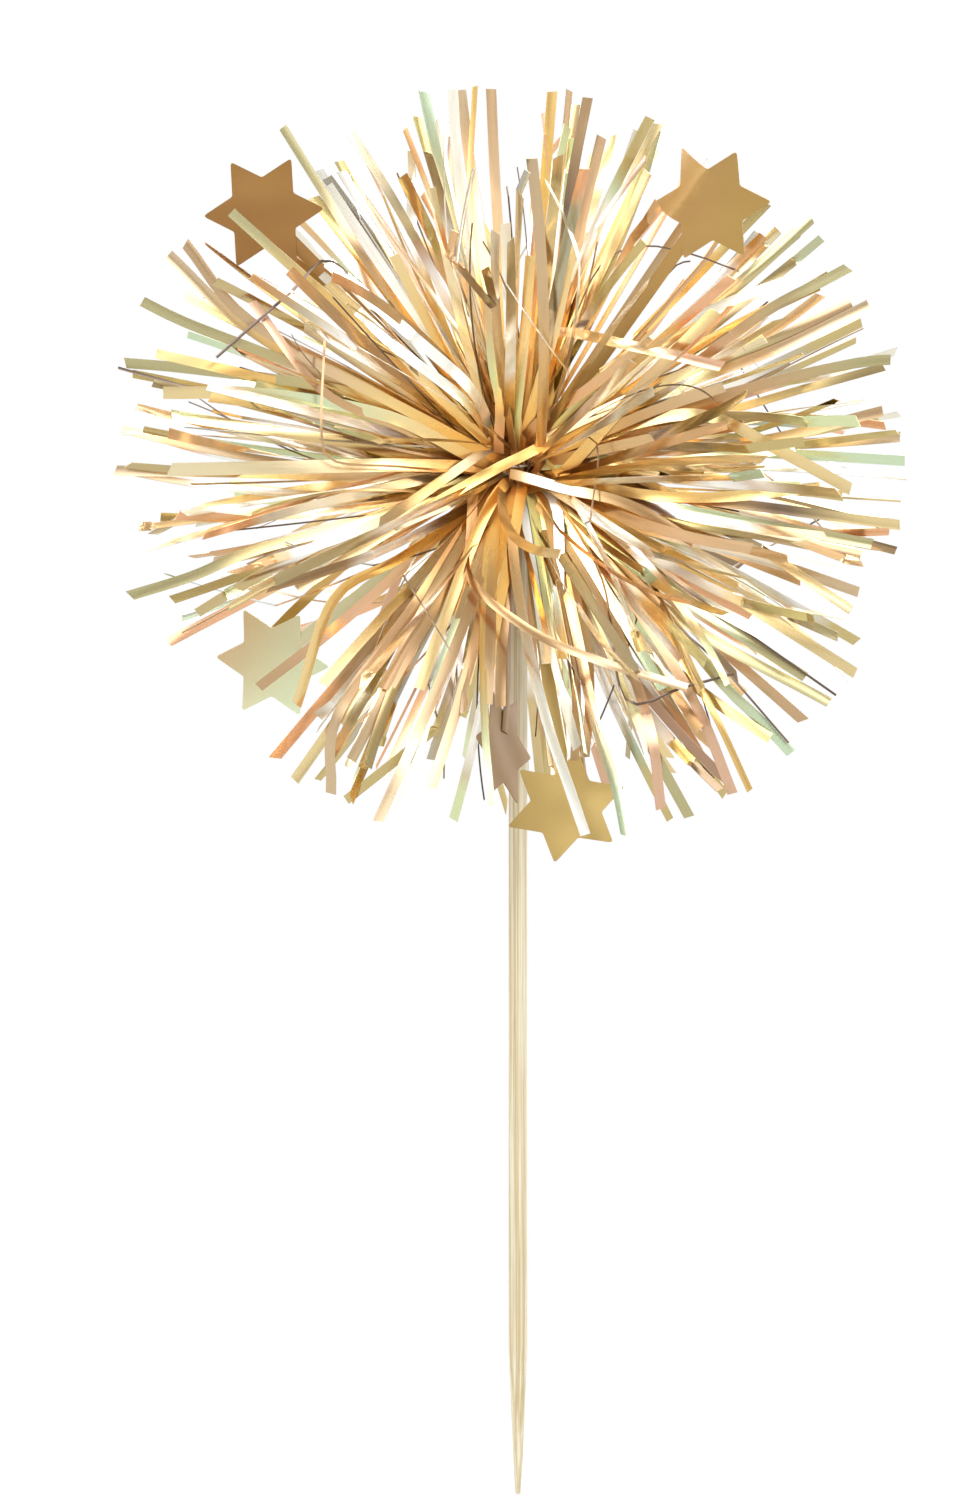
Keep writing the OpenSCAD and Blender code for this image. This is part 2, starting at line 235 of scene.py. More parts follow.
# Some strips get a painted highlight part of the way out, and some are deeper at the tip
PAINTED_HIGHLIGHT_SHARE = 0.42
PAINTED_HIGHLIGHT_PLACES = (16.0, 30.0)
PAINTED_HIGHLIGHT_HALF = 5.0
PAINTED_HIGHLIGHT_EDGE = 1.5
TIP_SHARE = 0.55
TIP_LENGTHS = (5.0, 14.0)
TIP_FADE = 2.5
TIP_SHARES = dict(olive=0.36, bronze=0.13, tan=0.14, rose=0.18, green=0.19)
# Painted light from tie to tips: deep, warm painted shade in the middle, pale, cool painted reflection
# outside
PAINTED_LIGHT_R = (0.0, 5.0, 9.0, 16.0, 26.0, 40.0)
PAINTED_LIGHT_TONES = (
    (0.92, 0.76, 0.6),
    (0.95, 0.8, 0.6),
    (1.0, 0.91, 0.68),
    (0.98, 0.97, 0.9),
    (0.96, 1.02, 1.14),
    (0.86, 0.97, 1.15),
)
BLUE_LIMIT = 0.93
# Gain on the white stretches of placed strips, which are painted highlights
PAINTED_HIGHLIGHT_GAIN = 1.7

# Surface of the foil: roughness, metal of yellow and of pale foil, streaks and grain to a millimetre,
# and the span of the marks that give each strip streaks of its own
INNER_ROUGH, OUTER_ROUGH, STAR_ROUGH = (0.17, 0.26), (0.15, 0.24), (0.36, 0.46)
STRIP_METAL, STAR_METAL = (0.95, 0.85), (0.5, 0.4)
STRIP_STREAK, STRIP_GRAIN = (0.9, 0.1, 1.0), (9.0, 2.0, 1.0)
STAR_STREAK, STAR_GRAIN = (1.2, 0.25, 1.0), (14.0, 3.0, 1.0)
STREAK_SHADE, GRAIN_SHADE = (0.98, 1.02), (0.99, 1.01)
MARK_SPAN = 100.0
FOIL_COAT = 0.1
# Foil is scuffed near the tie: roughness added there, and the lengths along a strip where it fades
STRIP_SCUFF, STAR_SCUFF = 0.2, 0.0
SCUFF_SPAN = (5.0, 16.0)
NOISE_ROUGH = 0.55

# Surface of the wire and of the bamboo: texture to a millimetre, or to a metre on the bamboo
WIRE_STREAK = (3.0, 0.6, 1.0)
WIRE_SHADE, WIRE_ROUGH = (0.8, 1.1), (0.2, 0.4)
WIRE_BUMP, WIRE_BUMP_H = 0.2, 0.01
FIBRE_SCALE, BAND_SCALE = (4200.0, 4200.0, 45.0), (1300.0, 1300.0, 14.0)
VESSEL_SCALE = (9000.0, 9000.0, 160.0)
FIBRE_PART, BAND_PART = (0.0, 0.6), (0.0, 0.4)
VESSEL_SHADE, VESSEL_SPAN = (0.8, 1.0), (0.25, 0.4)
BAMBOO_SPAN, BAMBOO_TINTS = (0.3, 0.68), ("C3B288", "E6DEC6")
BAMBOO_ROUGH = (0.42, 0.62)
BAMBOO_BUMP, BAMBOO_BUMP_H = 0.5, 0.05

# The floor: size in metres, how far below the tip it lies, and where it fades into white
FLOOR_R = 4.0
FLOOR_SIDES = 96
FLOOR_GAP = 0.05
FLOOR_GREY = (0.76, 0.76, 0.76, 1)
FLOOR_ROUGH = 0.9
FLOOR_WHITE, FLOOR_FADE = (0.3, 1.0), (0.02, 0.2)

# Panels of light in the room, which show only in reflections, and the rest of its light
PANEL_LIGHT, PANEL_SPAN = (0.55, 4.2), (0.47, 0.6)
PANEL_TINTS = ((1.0, 0.94, 0.82, 1), (0.93, 0.98, 1.15, 1))
PANEL_SCALE = (2.4, 2.4, 2.4)
PANEL_SHIFT = (1.3, -0.6, 0.8)
BACK_LIGHT, BACK_SPAN = (0.0, 0.5), (-0.4, 0.4)
ROOM_TINT = (1.0, 0.97, 0.93, 1)
ROOM_LIGHT = 0.8
WHITE = (1, 1, 1, 1)

# Softboxes: places and sizes in metres, and powers in watts
LAMPS = {
    "key_left": dict(place=(-0.55, -0.6, 0.75), size=0.5, power=4.5),
    "fill_right": dict(place=(0.7, -0.55, 0.35), size=0.45, power=2.6),
    "top_back": dict(place=(0.1, 0.45, 0.85), size=0.5, power=3.0),
}


def strip(tints, *at, wide=STRIP_W, tilt=0.0):
    """A strip to place: tints along it, its pixels with a depth, its width and the tilt of its face."""
    return dict(tints=tints, at=at, wide=wide, tilt=tilt)


# Strips, slivers and threads that the photograph shows one by one, each named by where its tip lies.
# The first are laid before the random strips, and the last after them.
# White stretches along these strips are painted highlights
FIRST_PLACED = dict(
    lower_right_1=strip("champagne champagne white tan bronze bronze",
        (510, 475, -4.6), (565, 491, -8.5), (626, 507, -12), (690, 545, -15), tilt=4),
    lower_left_1=strip("tan gold gold pale_gold",
        (556, 440, -4.4), (520, 459, -6.4), (486, 476, -7), (400, 527, -11), (300, 592, -14)),
    crown_1=strip("tan rose green tan",
        (499, 455, -4.8), (500, 406, -7.5), (493, 369, -9), (488, 300, -12)),
    crown_2=strip("green green pale_gold gold",
        (513, 446, -4.5), (519, 390, -8), (524, 340, -10), (530, 262, -13)),
    upper_right_1=strip("gold gold tan gold",
        (548, 478, -4.6), (567, 470, -6), (640, 390, -12), (712, 318, -16), wide=1.25),
    skirt_1=strip("amber gold amber gold",
        (522, 487, -4.4), (512, 545, -8), (500, 600, -11), (484, 690, -15), wide=1.2),
    skirt_2=strip("bronze amber gold tan",
        (513, 488, -4), (501, 545, -7.5), (488, 600, -10.4), (466, 684, -14)),
    skirt_3=strip("amber white white amber",
        (540, 486, -4), (557, 513, -6.5), (558, 600, -11), (562, 660, -13)),
    skirt_4=strip("green green green pale_gold",
        (530, 492, -4), (538, 540, -6.5), (547, 600, -9.5), (556, 672, -13.6)),
    lower_left_2=strip("white white gold tan champagne",
        (492, 449, -4.4), (470, 463, -6.5), (400, 513, -11), (322, 566, -14), wide=1.2, tilt=16),
    upper_left_1=strip("gold white white white",
        (492, 432, -5), (470, 392, -12), (410, 340, -17), (330, 268, -11), wide=1.2),
    crown_3=strip("amber gold pale_gold gold",
        (524, 440, -4), (536, 395, -6.5), (555, 330, -10), (572, 250, -13)),
    upper_right_2=strip("rose tan rose tan",
        (526, 437, -4.4), (550, 415, -6.5), (580, 397, -9), (650, 345, -13)),
    upper_right_3=strip("pale_gold champagne gold pale_gold",
        (534, 448, -4.2), (570, 428, -6.4), (660, 388, -12), (760, 345, -16)),
    right_1=strip("green green gold green",
        (540, 466, -4), (585, 462, -6), (660, 466, -10), (790, 452, -14), wide=1.2),
    skirt_5=strip("bronze tan rose tan",
        (478, 478, -4.2), (473, 500, -6.5), (470, 548, -9), (458, 620, -12)),
    skirt_6=strip("gold gold pale_gold gold",
        (506, 484, -4.8), (483, 520, -7.8), (448, 612, -12.5), (420, 690, -15), wide=1.2),
    lower_right_2=strip("bronze bronze bronze tan",
        (490, 500, -4), (467, 573, -11), (527, 631, -17), (598, 663, -20), (683, 689, -21), wide=0.9),
    upper_right_4=strip("gold gold rose pale_gold rose",
        (522, 430, -1.5), (538, 360, -3), (556, 335, -7), (630, 352, -15), (718, 373, -17)),
    skirt_7=strip("amber amber bronze bronze",
        (505, 500, -3), (505, 600, -10), (501, 660, -14), (500, 708, -16)),
    left_1=strip("bronze dark bronze dark",
        (480, 462, -3), (390, 450, -8), (250, 408, -10), (122, 372, -11), wide=0.3),
    upper_left_2=strip("gold gold amber olive",
        (480, 440, -3), (380, 345, -4.5), (300, 275, -4.5), (232, 214, -3.5), tilt=-15),
    skirt_8=strip("amber bronze tan champagne white white",
        (512, 540, -8), (524, 630, -13), (546, 723, -18), (565, 780, -20.6), (583, 833, -22.6)),
    skirt_9=strip("amber tan bronze bronze bronze",
        (540, 486, -4), (556, 560, -9), (571, 640, -13), (575, 700, -15.4), (573, 760, -17.8), wide=0.95),
    skirt_10=strip("amber tan bronze tan bronze",
        (545, 486, -3.6), (566, 560, -8.5), (585, 640, -12.5), (588, 700, -15.4), (583, 757, -17.8),
        wide=0.95),
    skirt_11=strip("amber gold bronze tan",
        (498, 490, -4), (492, 580, -10), (490, 650, -13.5), (487, 705, -15.5)),
    skirt_12=strip("amber gold amber green",
        (495, 490, -4), (484, 600, -11), (484, 713, -16), (491, 804, -18.5), wide=0.8),
    upper_left_3=strip("gold amber bronze olive",
        (495, 440, -2), (377, 278, -6), (330, 205, -6), (284, 131, -6), wide=0.9),
    skirt_13=strip("gold amber bronze bronze green",
        (548, 510, -4), (570, 610, -12), (593, 722, -17.4), (613, 785, -20), (623, 834, -22)),
    lower_left_3=strip("gold tan rose bronze",
        (485, 492, -2), (385, 585, -2), (320, 640, 0), (258, 687, 3)),
    lower_left_4=strip("gold amber amber gold",
        (490, 500, -3), (400, 560, -7), (335, 600, -6), (297, 705, -2)),
    crown_4=strip("gold gold champagne champagne",
        (508, 430, -2), (480, 300, -3), (459, 180, -3), (453, 92, -3)),
    crown_5=strip("gold rose tan tan", (510, 430, -2), (490, 300, -1), (472, 180, 0), (461, 90, 0)),
    crown_6=strip("amber gold tan bronze", (514, 430, -2), (503, 300, -3), (495, 180, -3), (491, 91, -3)),
    crown_7=strip("gold champagne amber amber",
        (522, 430, -2), (534, 300, -2), (545, 180, -2), (552, 93, -2)),
    crown_8=strip("gold gold amber bronze",
        (524, 430, -2), (543, 300, -4), (560, 180, -4), (569, 93, -4), wide=0.7),
    crown_9=strip("gold pale_gold gold green", (528, 432, -2), (580, 300, 0), (633, 190, 2), (669, 120, 3)),
    right_2=strip("gold champagne green green",
        (552, 462, -2), (680, 452, -5), (800, 456, -4), (903, 462, -4)),
    left_2=strip("amber champagne gold tan",
        (484, 476, -2), (360, 478, -5), (240, 474, -5), (117, 472, -5)),
)
LAST_PLACED = dict(
    skirt_14=strip("amber white white champagne",
        (521, 492, -3.6), (528, 540, -6), (537, 600, -9), (545, 665, -12), wide=0.85),
    left_3=strip("gold bronze dark dark",
        (486, 440, -4), (400, 345, -10), (335, 268, -13), (292, 300, -14), (220, 363, -14), wide=0.3),
    upper_left_4=strip("gold tan bronze rose",
        (484, 462, -3), (400, 430, -9), (322, 393, -12), (255, 307, -12), wide=0.9),
    upper_left_5=strip("gold tan bronze bronze",
        (484, 476, -4), (400, 470, -12), (338, 466, -15), (324, 440, -15.5), (327, 343, -15), wide=0.25),
    upper_right_5=strip("gold bronze dark dark",
        (530, 430, -3), (570, 330, -4), (600, 268, -5), (640, 248, -4), (690, 256, -4), (734, 272, -4),
        wide=0.18),
    upper_right_6=strip("gold bronze dark dark",
        (534, 440, -2), (610, 350, -1.5), (656, 290, -1.5), (676, 266, -1.5), (690, 262, -1.5), wide=0.18),
    lower_right_3=strip("amber bronze dark dark",
        (545, 452, -5), (588, 440, -9), (597, 459, -10), (592, 500, -11), (587, 537, -11.5), wide=0.18),
    upper_left_6=strip("gold gold pale_gold gold",
        (498, 452, -4.2), (440, 400, -8), (390, 345, -11), (330, 290, -14)),
    upper_left_7=strip("gold amber gold tan",
        (494, 458, -4.4), (430, 425, -8.4), (370, 395, -11.4), (300, 360, -14)),
    upper_left_8=strip("gold gold amber gold",
        (503, 448, -4.2), (462, 385, -8), (430, 330, -11), (395, 262, -14)),
    right_3=strip("bronze amber bronze tan",
        (542, 456, -4.4), (596, 437, -8.2), (650, 415, -11.4), (720, 392, -14)),
    right_4=strip("bronze bronze tan bronze",
        (548, 462, -4.4), (600, 452, -8), (660, 440, -11), (740, 430, -14)),
    lower_left_5=strip("amber bronze tan bronze",
        (497, 490, -4.2), (462, 545, -8.6), (425, 610, -12.4), (385, 690, -15)),
    lower_right_4=strip("gold green champagne green",
        (546, 500, -4.5), (585, 560, -9), (620, 620, -12.5), (660, 690, -15.5)),
    crown_10=strip("gold champagne white champagne",
        (518, 440, -4), (512, 380, -7.5), (508, 310, -10), (505, 230, -12)),
    crown_11=strip("gold tan olive olive green",
        (506, 430, -2.2), (470, 300, -3), (436, 150, -3), (424, 94, -3)),
    crown_12=strip("gold amber bronze amber",
        (512, 430, -2), (482, 300, -5), (470, 200, -5.4), (475, 90, -5.4), wide=0.6),
    crown_13=strip("gold champagne amber dark bronze",
        (527, 431, -2.2), (556, 300, -6), (572, 180, -6.4), (587, 102, -6.6)),
    crown_14=strip("gold amber bronze bronze",
        (529, 432, -2.4), (560, 330, -5), (582, 220, -5), (601, 140, -5)),
    crown_15=strip("gold olive olive olive",
        (532, 436, -2.2), (590, 310, -2.4), (635, 200, -2.4), (656, 131, -2.4)),
    lower_left_6=strip("gold amber gold gold",
        (488, 492, -4), (430, 590, -10), (360, 690, -13), (297, 780, -13)),
    lower_left_7=strip("amber bronze bronze tan",
        (490, 494, -4.4), (420, 600, -12), (340, 715, -15), (333, 793, -14)),
    lower_left_8=strip("gold tan bronze tan",
        (494, 494, -4.2), (440, 600, -11.4), (390, 690, -14), (353, 760, -14.5)),
    skirt_15=strip("gold tan green green",
        (500, 496, -4), (465, 600, -11), (430, 710, -15), (410, 792, -16)),
    skirt_16=strip("gold bronze tan tan",
        (502, 497, -4.2), (470, 610, -11.6), (420, 730, -16), (380, 820, -17)),
    skirt_17=strip("gold bronze bronze tan",
        (504, 498, -4.4), (480, 620, -11.8), (460, 700, -15), (432, 787, -17)),
    right_5=strip("amber gold amber bronze",
        (545, 456, -4), (640, 446, -8), (754, 444, -9), (879, 414, -9)),
    right_6=strip("gold champagne bronze bronze tan",
        (547, 460, -4), (680, 452, -9.5), (813, 446, -9.5), (896, 440, -9.5)),
    right_7=strip("gold pale_gold gold gold",
        (556, 452, -4), (640, 425, -10), (706, 421, -14), (775, 455, -15), (845, 493, -15), wide=1.25),
    right_8=strip("amber gold amber gold",
        (550, 470, -4), (630, 495, -9), (714, 500, -11), (816, 490, -11)),
    right_9=strip("gold olive tan bronze dark gold",
        (546, 482, -4), (640, 496, -8), (742, 507, -9), (896, 527, -9)),
    right_10=strip("gold green green olive",
        (548, 486, -4), (650, 506, -9), (749, 525, -10.5), (868, 546, -10.5)),
    right_11=strip("gold amber olive bronze",
        (548, 488, -4.4), (660, 520, -10), (770, 540, -12), (856, 558, -12)),
    lower_right_5=strip("gold champagne champagne tan",
        (546, 490, -4), (640, 530, -10), (760, 562, -12), (854, 594, -12)),
    lower_right_6=strip("gold green green olive",
        (544, 494, -4), (620, 560, -10), (710, 620, -13), (801, 678, -13)),
    lower_right_7=strip("gold champagne olive olive",
        (542, 495, -4), (600, 560, -9), (700, 635, -12), (825, 703, -12)),
    upper_left_9=strip("gold amber tan bronze",
        (488, 452, -4), (380, 392, -8), (252, 325, -9), (188, 248, -9)),
    upper_left_10=strip("gold amber amber tan",
        (487, 455, -4), (370, 400, -6), (253, 334, -7), (171, 258, -7)),
    upper_left_11=strip("gold gold tan olive olive",
        (486, 458, -4), (380, 402, -7), (268, 357, -8), (188, 326, -8), (145, 305, -8)),
    left_4=strip("gold amber olive olive",
        (484, 462, -4), (400, 412, -8), (325, 390, -9), (194, 372, -8), (128, 366, -8)),
    left_5=strip("gold pale_gold green gold",
        (485, 464, -4.4), (390, 420, -10), (272, 399, -12), (167, 397, -12), wide=1.3),
    left_6=strip("gold bronze pale_gold pale_gold",
        (484, 470, -4), (400, 468, -10), (325, 470, -12), (173, 473, -12), wide=1.4),
    left_7=strip("gold champagne gold olive olive",
        (486, 482, -4), (380, 520, -8), (260, 551, -9), (194, 578, -9), (133, 597, -9)),
    upper_right_7=strip("gold tan rose bronze olive",
        (540, 455, -4), (660, 390, -9), (760, 318, -11), (818, 287, -11), (844, 273, -11)),
    right_12=strip("gold champagne bronze bronze olive",
        (545, 458, -4), (650, 420, -9), (768, 386, -11), (854, 367, -11), (886, 364, -11)),
    upper_right_8=strip("gold green pale_gold olive bronze",
        (540, 452, -4), (640, 395, -9), (760, 350, -11), (847, 308, -11), wide=1.2),
    right_13=strip("gold amber green bronze tan",
        (542, 454, -4.4), (650, 400, -9.6), (770, 355, -11.6), (864, 310, -11.6)),
    upper_right_9=strip("gold green pale_gold olive",
        (538, 448, -4), (620, 370, -9), (724, 298, -12), (794, 238, -12), wide=1.2),
    upper_right_10=strip("gold champagne gold olive",
        (540, 450, -4), (630, 375, -9.6), (730, 297, -12.6), (808, 226, -12.6), wide=0.9),
    skirt_18=strip("gold tan bronze rose",
        (532, 495, -4), (600, 600, -11), (645, 720, -16), (658, 808, -16)),
    lower_right_8=strip("gold green olive olive",
        (530, 496, -4), (590, 620, -11), (640, 730, -15), (686, 816, -15)),
    lower_right_9=strip("gold champagne tan bronze rose",
        (536, 495, -4), (620, 590, -11), (690, 700, -14), (729, 793, -14)),
    lower_right_10=strip("gold tan amber amber",
        (538, 494, -4.4), (630, 590, -11.5), (700, 695, -14.5), (746, 790, -14.5), wide=0.7),
    lower_right_11=strip("gold amber bronze olive green",
        (540, 493, -4), (640, 590, -11), (720, 685, -13), (756, 720, -13), (787, 753, -13)),
    lower_right_12=strip("gold bronze dark dark",
        (545, 486, -4), (600, 580, -13), (622, 699, -18), (680, 688, -18), (729, 675, -18), wide=0.3),
    lower_right_13=strip("gold bronze dark dark",
        (548, 490, -4), (640, 560, -11), (740, 632, -14), (831, 696, -14), wide=0.25),
    lower_right_14=strip("gold bronze dark dark",
        (546, 492, -4), (630, 590, -12), (710, 660, -15), (784, 743, -15), wide=0.22),
    upper_left_12=strip("gold champagne white champagne",
        (490, 436, -5), (462, 402, -11.5), (400, 356, -16), (345, 302, -11)),
)


def linear(code):
    """Linear colour of a six-digit code."""
    parts = np.array([int(code[i:i + 2], 16) for i in (0, 2, 4)]) / 255
    return np.where(parts <= 0.04045, parts / 12.92, ((parts + 0.055) / 1.055) ** 2.4)


def unit(v):
    return v / np.linalg.norm(v)


def aim(polar, azimuth):
    """Direction at an angle from straight up and an angle from +X."""
    p, a = np.radians((polar, azimuth))
    return np.array((math.sin(p) * math.cos(a), math.sin(p) * math.sin(a), math.cos(p)))


def turned(v, axis, degrees):
    """v turned about a unit axis."""
    a = math.radians(degrees)
    return v * math.cos(a) + np.cross(axis, v) * math.sin(a) + axis * np.dot(axis, v) * (1 - math.cos(a))


def any_square(v):
    """A random unit direction square to v."""
    other = rng.normal(size=3)
    return unit(other - v * np.dot(other, v))


def smooth(share):
    share = np.clip(share, 0, 1)
    return share * share * (3 - 2 * share)


class Star:
    """Place of a star: hinge of its stem, and its axes along the stem, across it and out of its face."""

    def __init__(self, name, out, lean, way, turn, bow, tints, fold=0.0):
        joint = next(j for j in frame["joints"] if j["name"] == name + "_nod")
        self.name = name
        self.body = joint["child"]
        self.hinge = np.array(joint["pos_m"]) / MM - UP * TIE_Z
        self.middle = out * aim(lean, way)
        self.long = np.linalg.norm(self.middle - self.hinge)
        self.along = unit(self.middle - self.hinge)
        self.across = unit(np.array(joint["axis"], float))
        self.face = np.cross(self.along, self.across)
        self.turn = math.radians(turn)
        self.bow = bow
        self.fold = fold
        self.tints = [linear(code) for code in tints]

    def stem_half(self, far):
        """Half the width of the stem at a distance from the hinge."""
        share = np.clip(far / STEM_OPEN_R, 0, 1)
        return (STEM_PINCH_W + (STEM_W - STEM_PINCH_W) * share) / 2

    def blocks(self, points, room):
        """Whether the star or its stem sweeps within room of any of the points."""
        d = points - self.hinge
        u, v, n = d @ self.along, d @ self.across, d @ self.face
        far = np.hypot(u, n)
        off = far * np.maximum(0, np.abs(np.arctan2(n, u)) - math.radians(NOD_ANGLE))
        on_stem = (far > GROOVE_H) & (far < self.long) & (np.abs(v) < self.stem_half(far) + room)
        on_star = np.hypot(far - self.long, v) < STAR_R + room
        return bool(np.any((on_stem | on_star) & (off < room)))

    def hidden_by(self, points):
        """Whether any of the points lies before the star."""
        off = np.hypot(points[:, 0] - self.middle[0], points[:, 2] - self.middle[2])
        return bool(np.any((off < STAR_R - HIDE_MARGIN) & (points[:, 1] < self.middle[1])))


stars = [Star(name, **place) for name, place in STARS.items()]


def new_object(name, data):
    made = bpy.data.objects.new(name, data)
    bpy.context.scene.collection.objects.link(made)
    return made


class Sheaf:
    """Foil or wire that becomes one mesh: points, each with a tint and a place on its strip, and faces."""

    def __init__(self):
        self.points = []
        self.faces = []
        self.tints = []
        self.places = []
        self.count = 0

    def add(self, points, faces, tints, places):
        self.points.append(points)
        self.faces.extend([corner + self.count for corner in face] for face in faces)
        self.tints.append(tints)
        self.places.append(places)
        self.count += len(points)

    def piece(self, name, material):
        """The mesh object, in metres in the frame."""
        points = (np.vstack(self.points) + UP * TIE_Z) * MM
        mesh = bpy.data.meshes.new(name)
        mesh.from_pydata(points.tolist(), [], self.faces)
        tint = mesh.attributes.new("foil_tint", "FLOAT_COLOR", "POINT")
        colours = np.vstack(self.tints)
        tint.data.foreach_set("color", np.column_stack((colours, np.ones(len(colours)))).ravel())
        place = mesh.attributes.new("foil_place", "FLOAT_VECTOR", "POINT")
        place.data.foreach_set("vector", np.vstack(self.places).ravel())
        mesh.shade_smooth()
        mesh.set_sharp_from_angle(angle=math.radians(FOLD_ANGLE))
        mesh.materials.append(material)
        return new_object(name, mesh)


def band_faces(rings, sides):
    """Faces round a closed band of rings, without its ends."""
    start = np.arange(rings - 1)[:, None] * sides
    here = np.arange(sides)[None, :]
    after = (here + 1) % sides
    corners = (start + here, start + after, start + after + sides, start + here + sides)
    return np.stack(corners, axis=-1).reshape(-1, 4)


def line_directions(line):
    """The direction of a line at each of its points."""
    along = np.gradient(line, axis=0)
    return along / np.linalg.norm(along, axis=1)[:, None]


def carried_sides(along, first):
    """A side direction for each point of a line, carried along it without twist."""
    sides = [unit(first - along[0] * np.dot(first, along[0]))]
    for a in along[1:]:
        sides.append(unit(sides[-1] - a * np.dot(sides[-1], a)))
    return np.array(sides)


def standing_side(along):
    """A side direction that stands most strips on edge, as they lie round the pick."""
    level = np.cross(along, UP)
    if rng.uniform() < LOOSE_SHARE or np.linalg.norm(level) < NEAR_UPRIGHT:
        return any_square(along)
    return turned(unit(np.cross(along, unit(level))), along, rng.normal(0, STAND_SPREAD))


def lying_side(along, tilt):
    """A side direction that lays a strip flat on the front or back, but for a tilt."""
    return turned(unit(np.cross(along, DEPTH)), along, tilt)


def add_ribbon(sheaf, line, rolls, widths, tints, side, cup=0.0, cut=0.0, lanes=LANES):
    """A flat strip of foil along a line: cupped across, cut at an angle at its end, and closed."""
    along = line_directions(line)
    side = carried_sides(along[::-1], side)[::-1]
    roll = np.radians(rolls)[:, None]
    side = side * np.cos(roll) + np.cross(along, side) * np.sin(roll)
    face = np.cross(side, along)
    share = np.linspace(-0.5, 0.5, lanes)
    travelled = np.concatenate(([0], np.cumsum(np.linalg.norm(np.diff(line, axis=0), axis=1))))
    rings = []
    places = []
    mark = rng.uniform(0, MARK_SPAN)
    for p in range(len(line)):
        slant = along[p] * math.tan(math.radians(cut)) if p == len(line) - 1 else np.zeros(3)
        across = share[:, None] * widths[p]
        sag = cup * widths[p] * (4 * share[:, None] ** 2 - 1)
        middle = line[p] + across * (side[p] + slant) + sag * face[p]
        half = face[p] * STRIP_T / 2
        rings.append(np.vstack((middle + half, (middle - half)[::-1])))
        spot = np.column_stack((share * 2, np.full(lanes, travelled[p]), np.full(lanes, mark)))
        places.append(np.vstack((spot, spot[::-1])))
    sides = 2 * lanes
    last = sides * (len(line) - 1)
    ends = [(s, s + 1, sides - 2 - s, sides - 1 - s) for s in range(lanes - 1)]
    faces = band_faces(len(line), sides).tolist()
    faces += [tuple(last + i for i in end) for end in ends]
    faces += [end[::-1] for end in ends]
    sheaf.add(np.vstack(rings), faces, np.repeat(tints, sides, axis=0), np.vstack(places))


def ball_share(points):
    """How far out points lie, as a share of the ball."""
    scaled = points / np.array((REACH, REACH, CROWN_REACH))
    return np.linalg.norm(scaled, axis=1)


def neck_line(direction, stray, up, out, turn):
    """From under the wire, up or down out of the tie, and round into a direction."""
    root = out * np.array((math.cos(turn), math.sin(turn), 0))
    low = root - UP * (up * GROOVE_H / 2)
    start = root + UP * (up * GROOVE_H)
    end = OPEN_R * turned(direction, any_square(direction), rng.normal(0, stray))
    pull_start = UP * (up * OPEN_R)
    pull_end = direction * OPEN_R
    s = np.linspace(0, 1, NECK_POINTS)[:, None]
    curve = (
        (2 * s**3 - 3 * s**2 + 1) * start
        + (s**3 - 2 * s**2 + s) * pull_start
        + (3 * s**2 - 2 * s**3) * end
        + (s**3 - s**2) * pull_end
    )
    return np.vstack((low, root, curve))


def free_line(at, along, bends):
    """Gently bowed stretches with creases between: points, and the roll and stretch number of each."""
    creases, crease_angle, curl = bends
    far = UNTRIMMED * REACH
    points, rolls, stretches = [], [], []
    bow_axis = any_square(along)
    twist = rng.normal(0, TWIST_SPREAD)
    stops = sorted(rng.uniform(*CREASE_PLACES, creases) * far) + [far]
    roll = 0.0
    gone = 0.0
    for number, stop in enumerate(stops):
        marks = np.linspace(gone, stop, max(2, math.ceil((stop - gone) / STEP) + 1))[1:]
        if stop - gone > 3 * CREASE:
            marks = np.unique(np.concatenate(([gone + CREASE], marks, [stop - CREASE])))
        for mark in marks:
            step = mark - gone
            along = turned(along, bow_axis, curl * step)
            at = at + along * step
            roll += twist * step
            gone = mark
            points.append(at)
            rolls.append(roll)
            stretches.append(number)
        along = turned(along, any_square(along), abs(rng.normal(0, crease_angle)))
        roll += rng.normal(0, CREASE_ROLL_SPREAD)
    return np.array(points), np.array(rolls), np.array(stretches)


def trimmed(line, rolls, stretches, share):
    """The line cut off where it leaves a share of the ball."""
    out = np.nonzero(ball_share(line) > share)[0]
    if len(out) == 0:
        return line, rolls, stretches
    end = out[0]
    a, b = ball_share(line[end - 1:end + 1])
    cut = line[end - 1] + (line[end] - line[end - 1]) * (share - a) / max(b - a, TINY)
    kept = end if np.linalg.norm(cut - line[end - 1]) > CUT_ROOM else end - 1
    return np.vstack((line[:kept], cut)), rolls[:kept + 1], stretches[:kept + 1]


def pick_tint(shares):
    names = list(shares)
    weights = np.array(list(shares.values()))
    return linear(TINTS[names[rng.choice(len(names), p=weights / weights.sum())]])


def stretch_tints(stretches, shares=None):
    """One tint for the strip, with another mixed in on some stretches."""
    own = pick_tint(shares or INNER_SHARES)
    tints = []
    for number in range(stretches.max() + 1):
        other = pick_tint(shares or (OUTER_SHARES if number else INNER_SHARES))
        mix = rng.choice(TINT_MIXES, p=TINT_MIX_SHARES)
        tints.append((own * (1 - mix) + other * mix) * rng.uniform(*SHADES))
    return np.array(tints)[stretches]


def with_painted_light(tints, line):
    """Tints with painted shade near the tie and a pale painted reflection towards the tips, and never
    bluish.
    """
    out = np.linalg.norm(line, axis=1)
    tone = np.column_stack([np.interp(out, PAINTED_LIGHT_R, channel) for channel in zip(*PAINTED_LIGHT_TONES)])
    mixed = np.minimum(tints * tone, 1)
    mixed[:, 2] = np.minimum(mixed[:, 2], BLUE_LIMIT * mixed[:, 1])
    return mixed


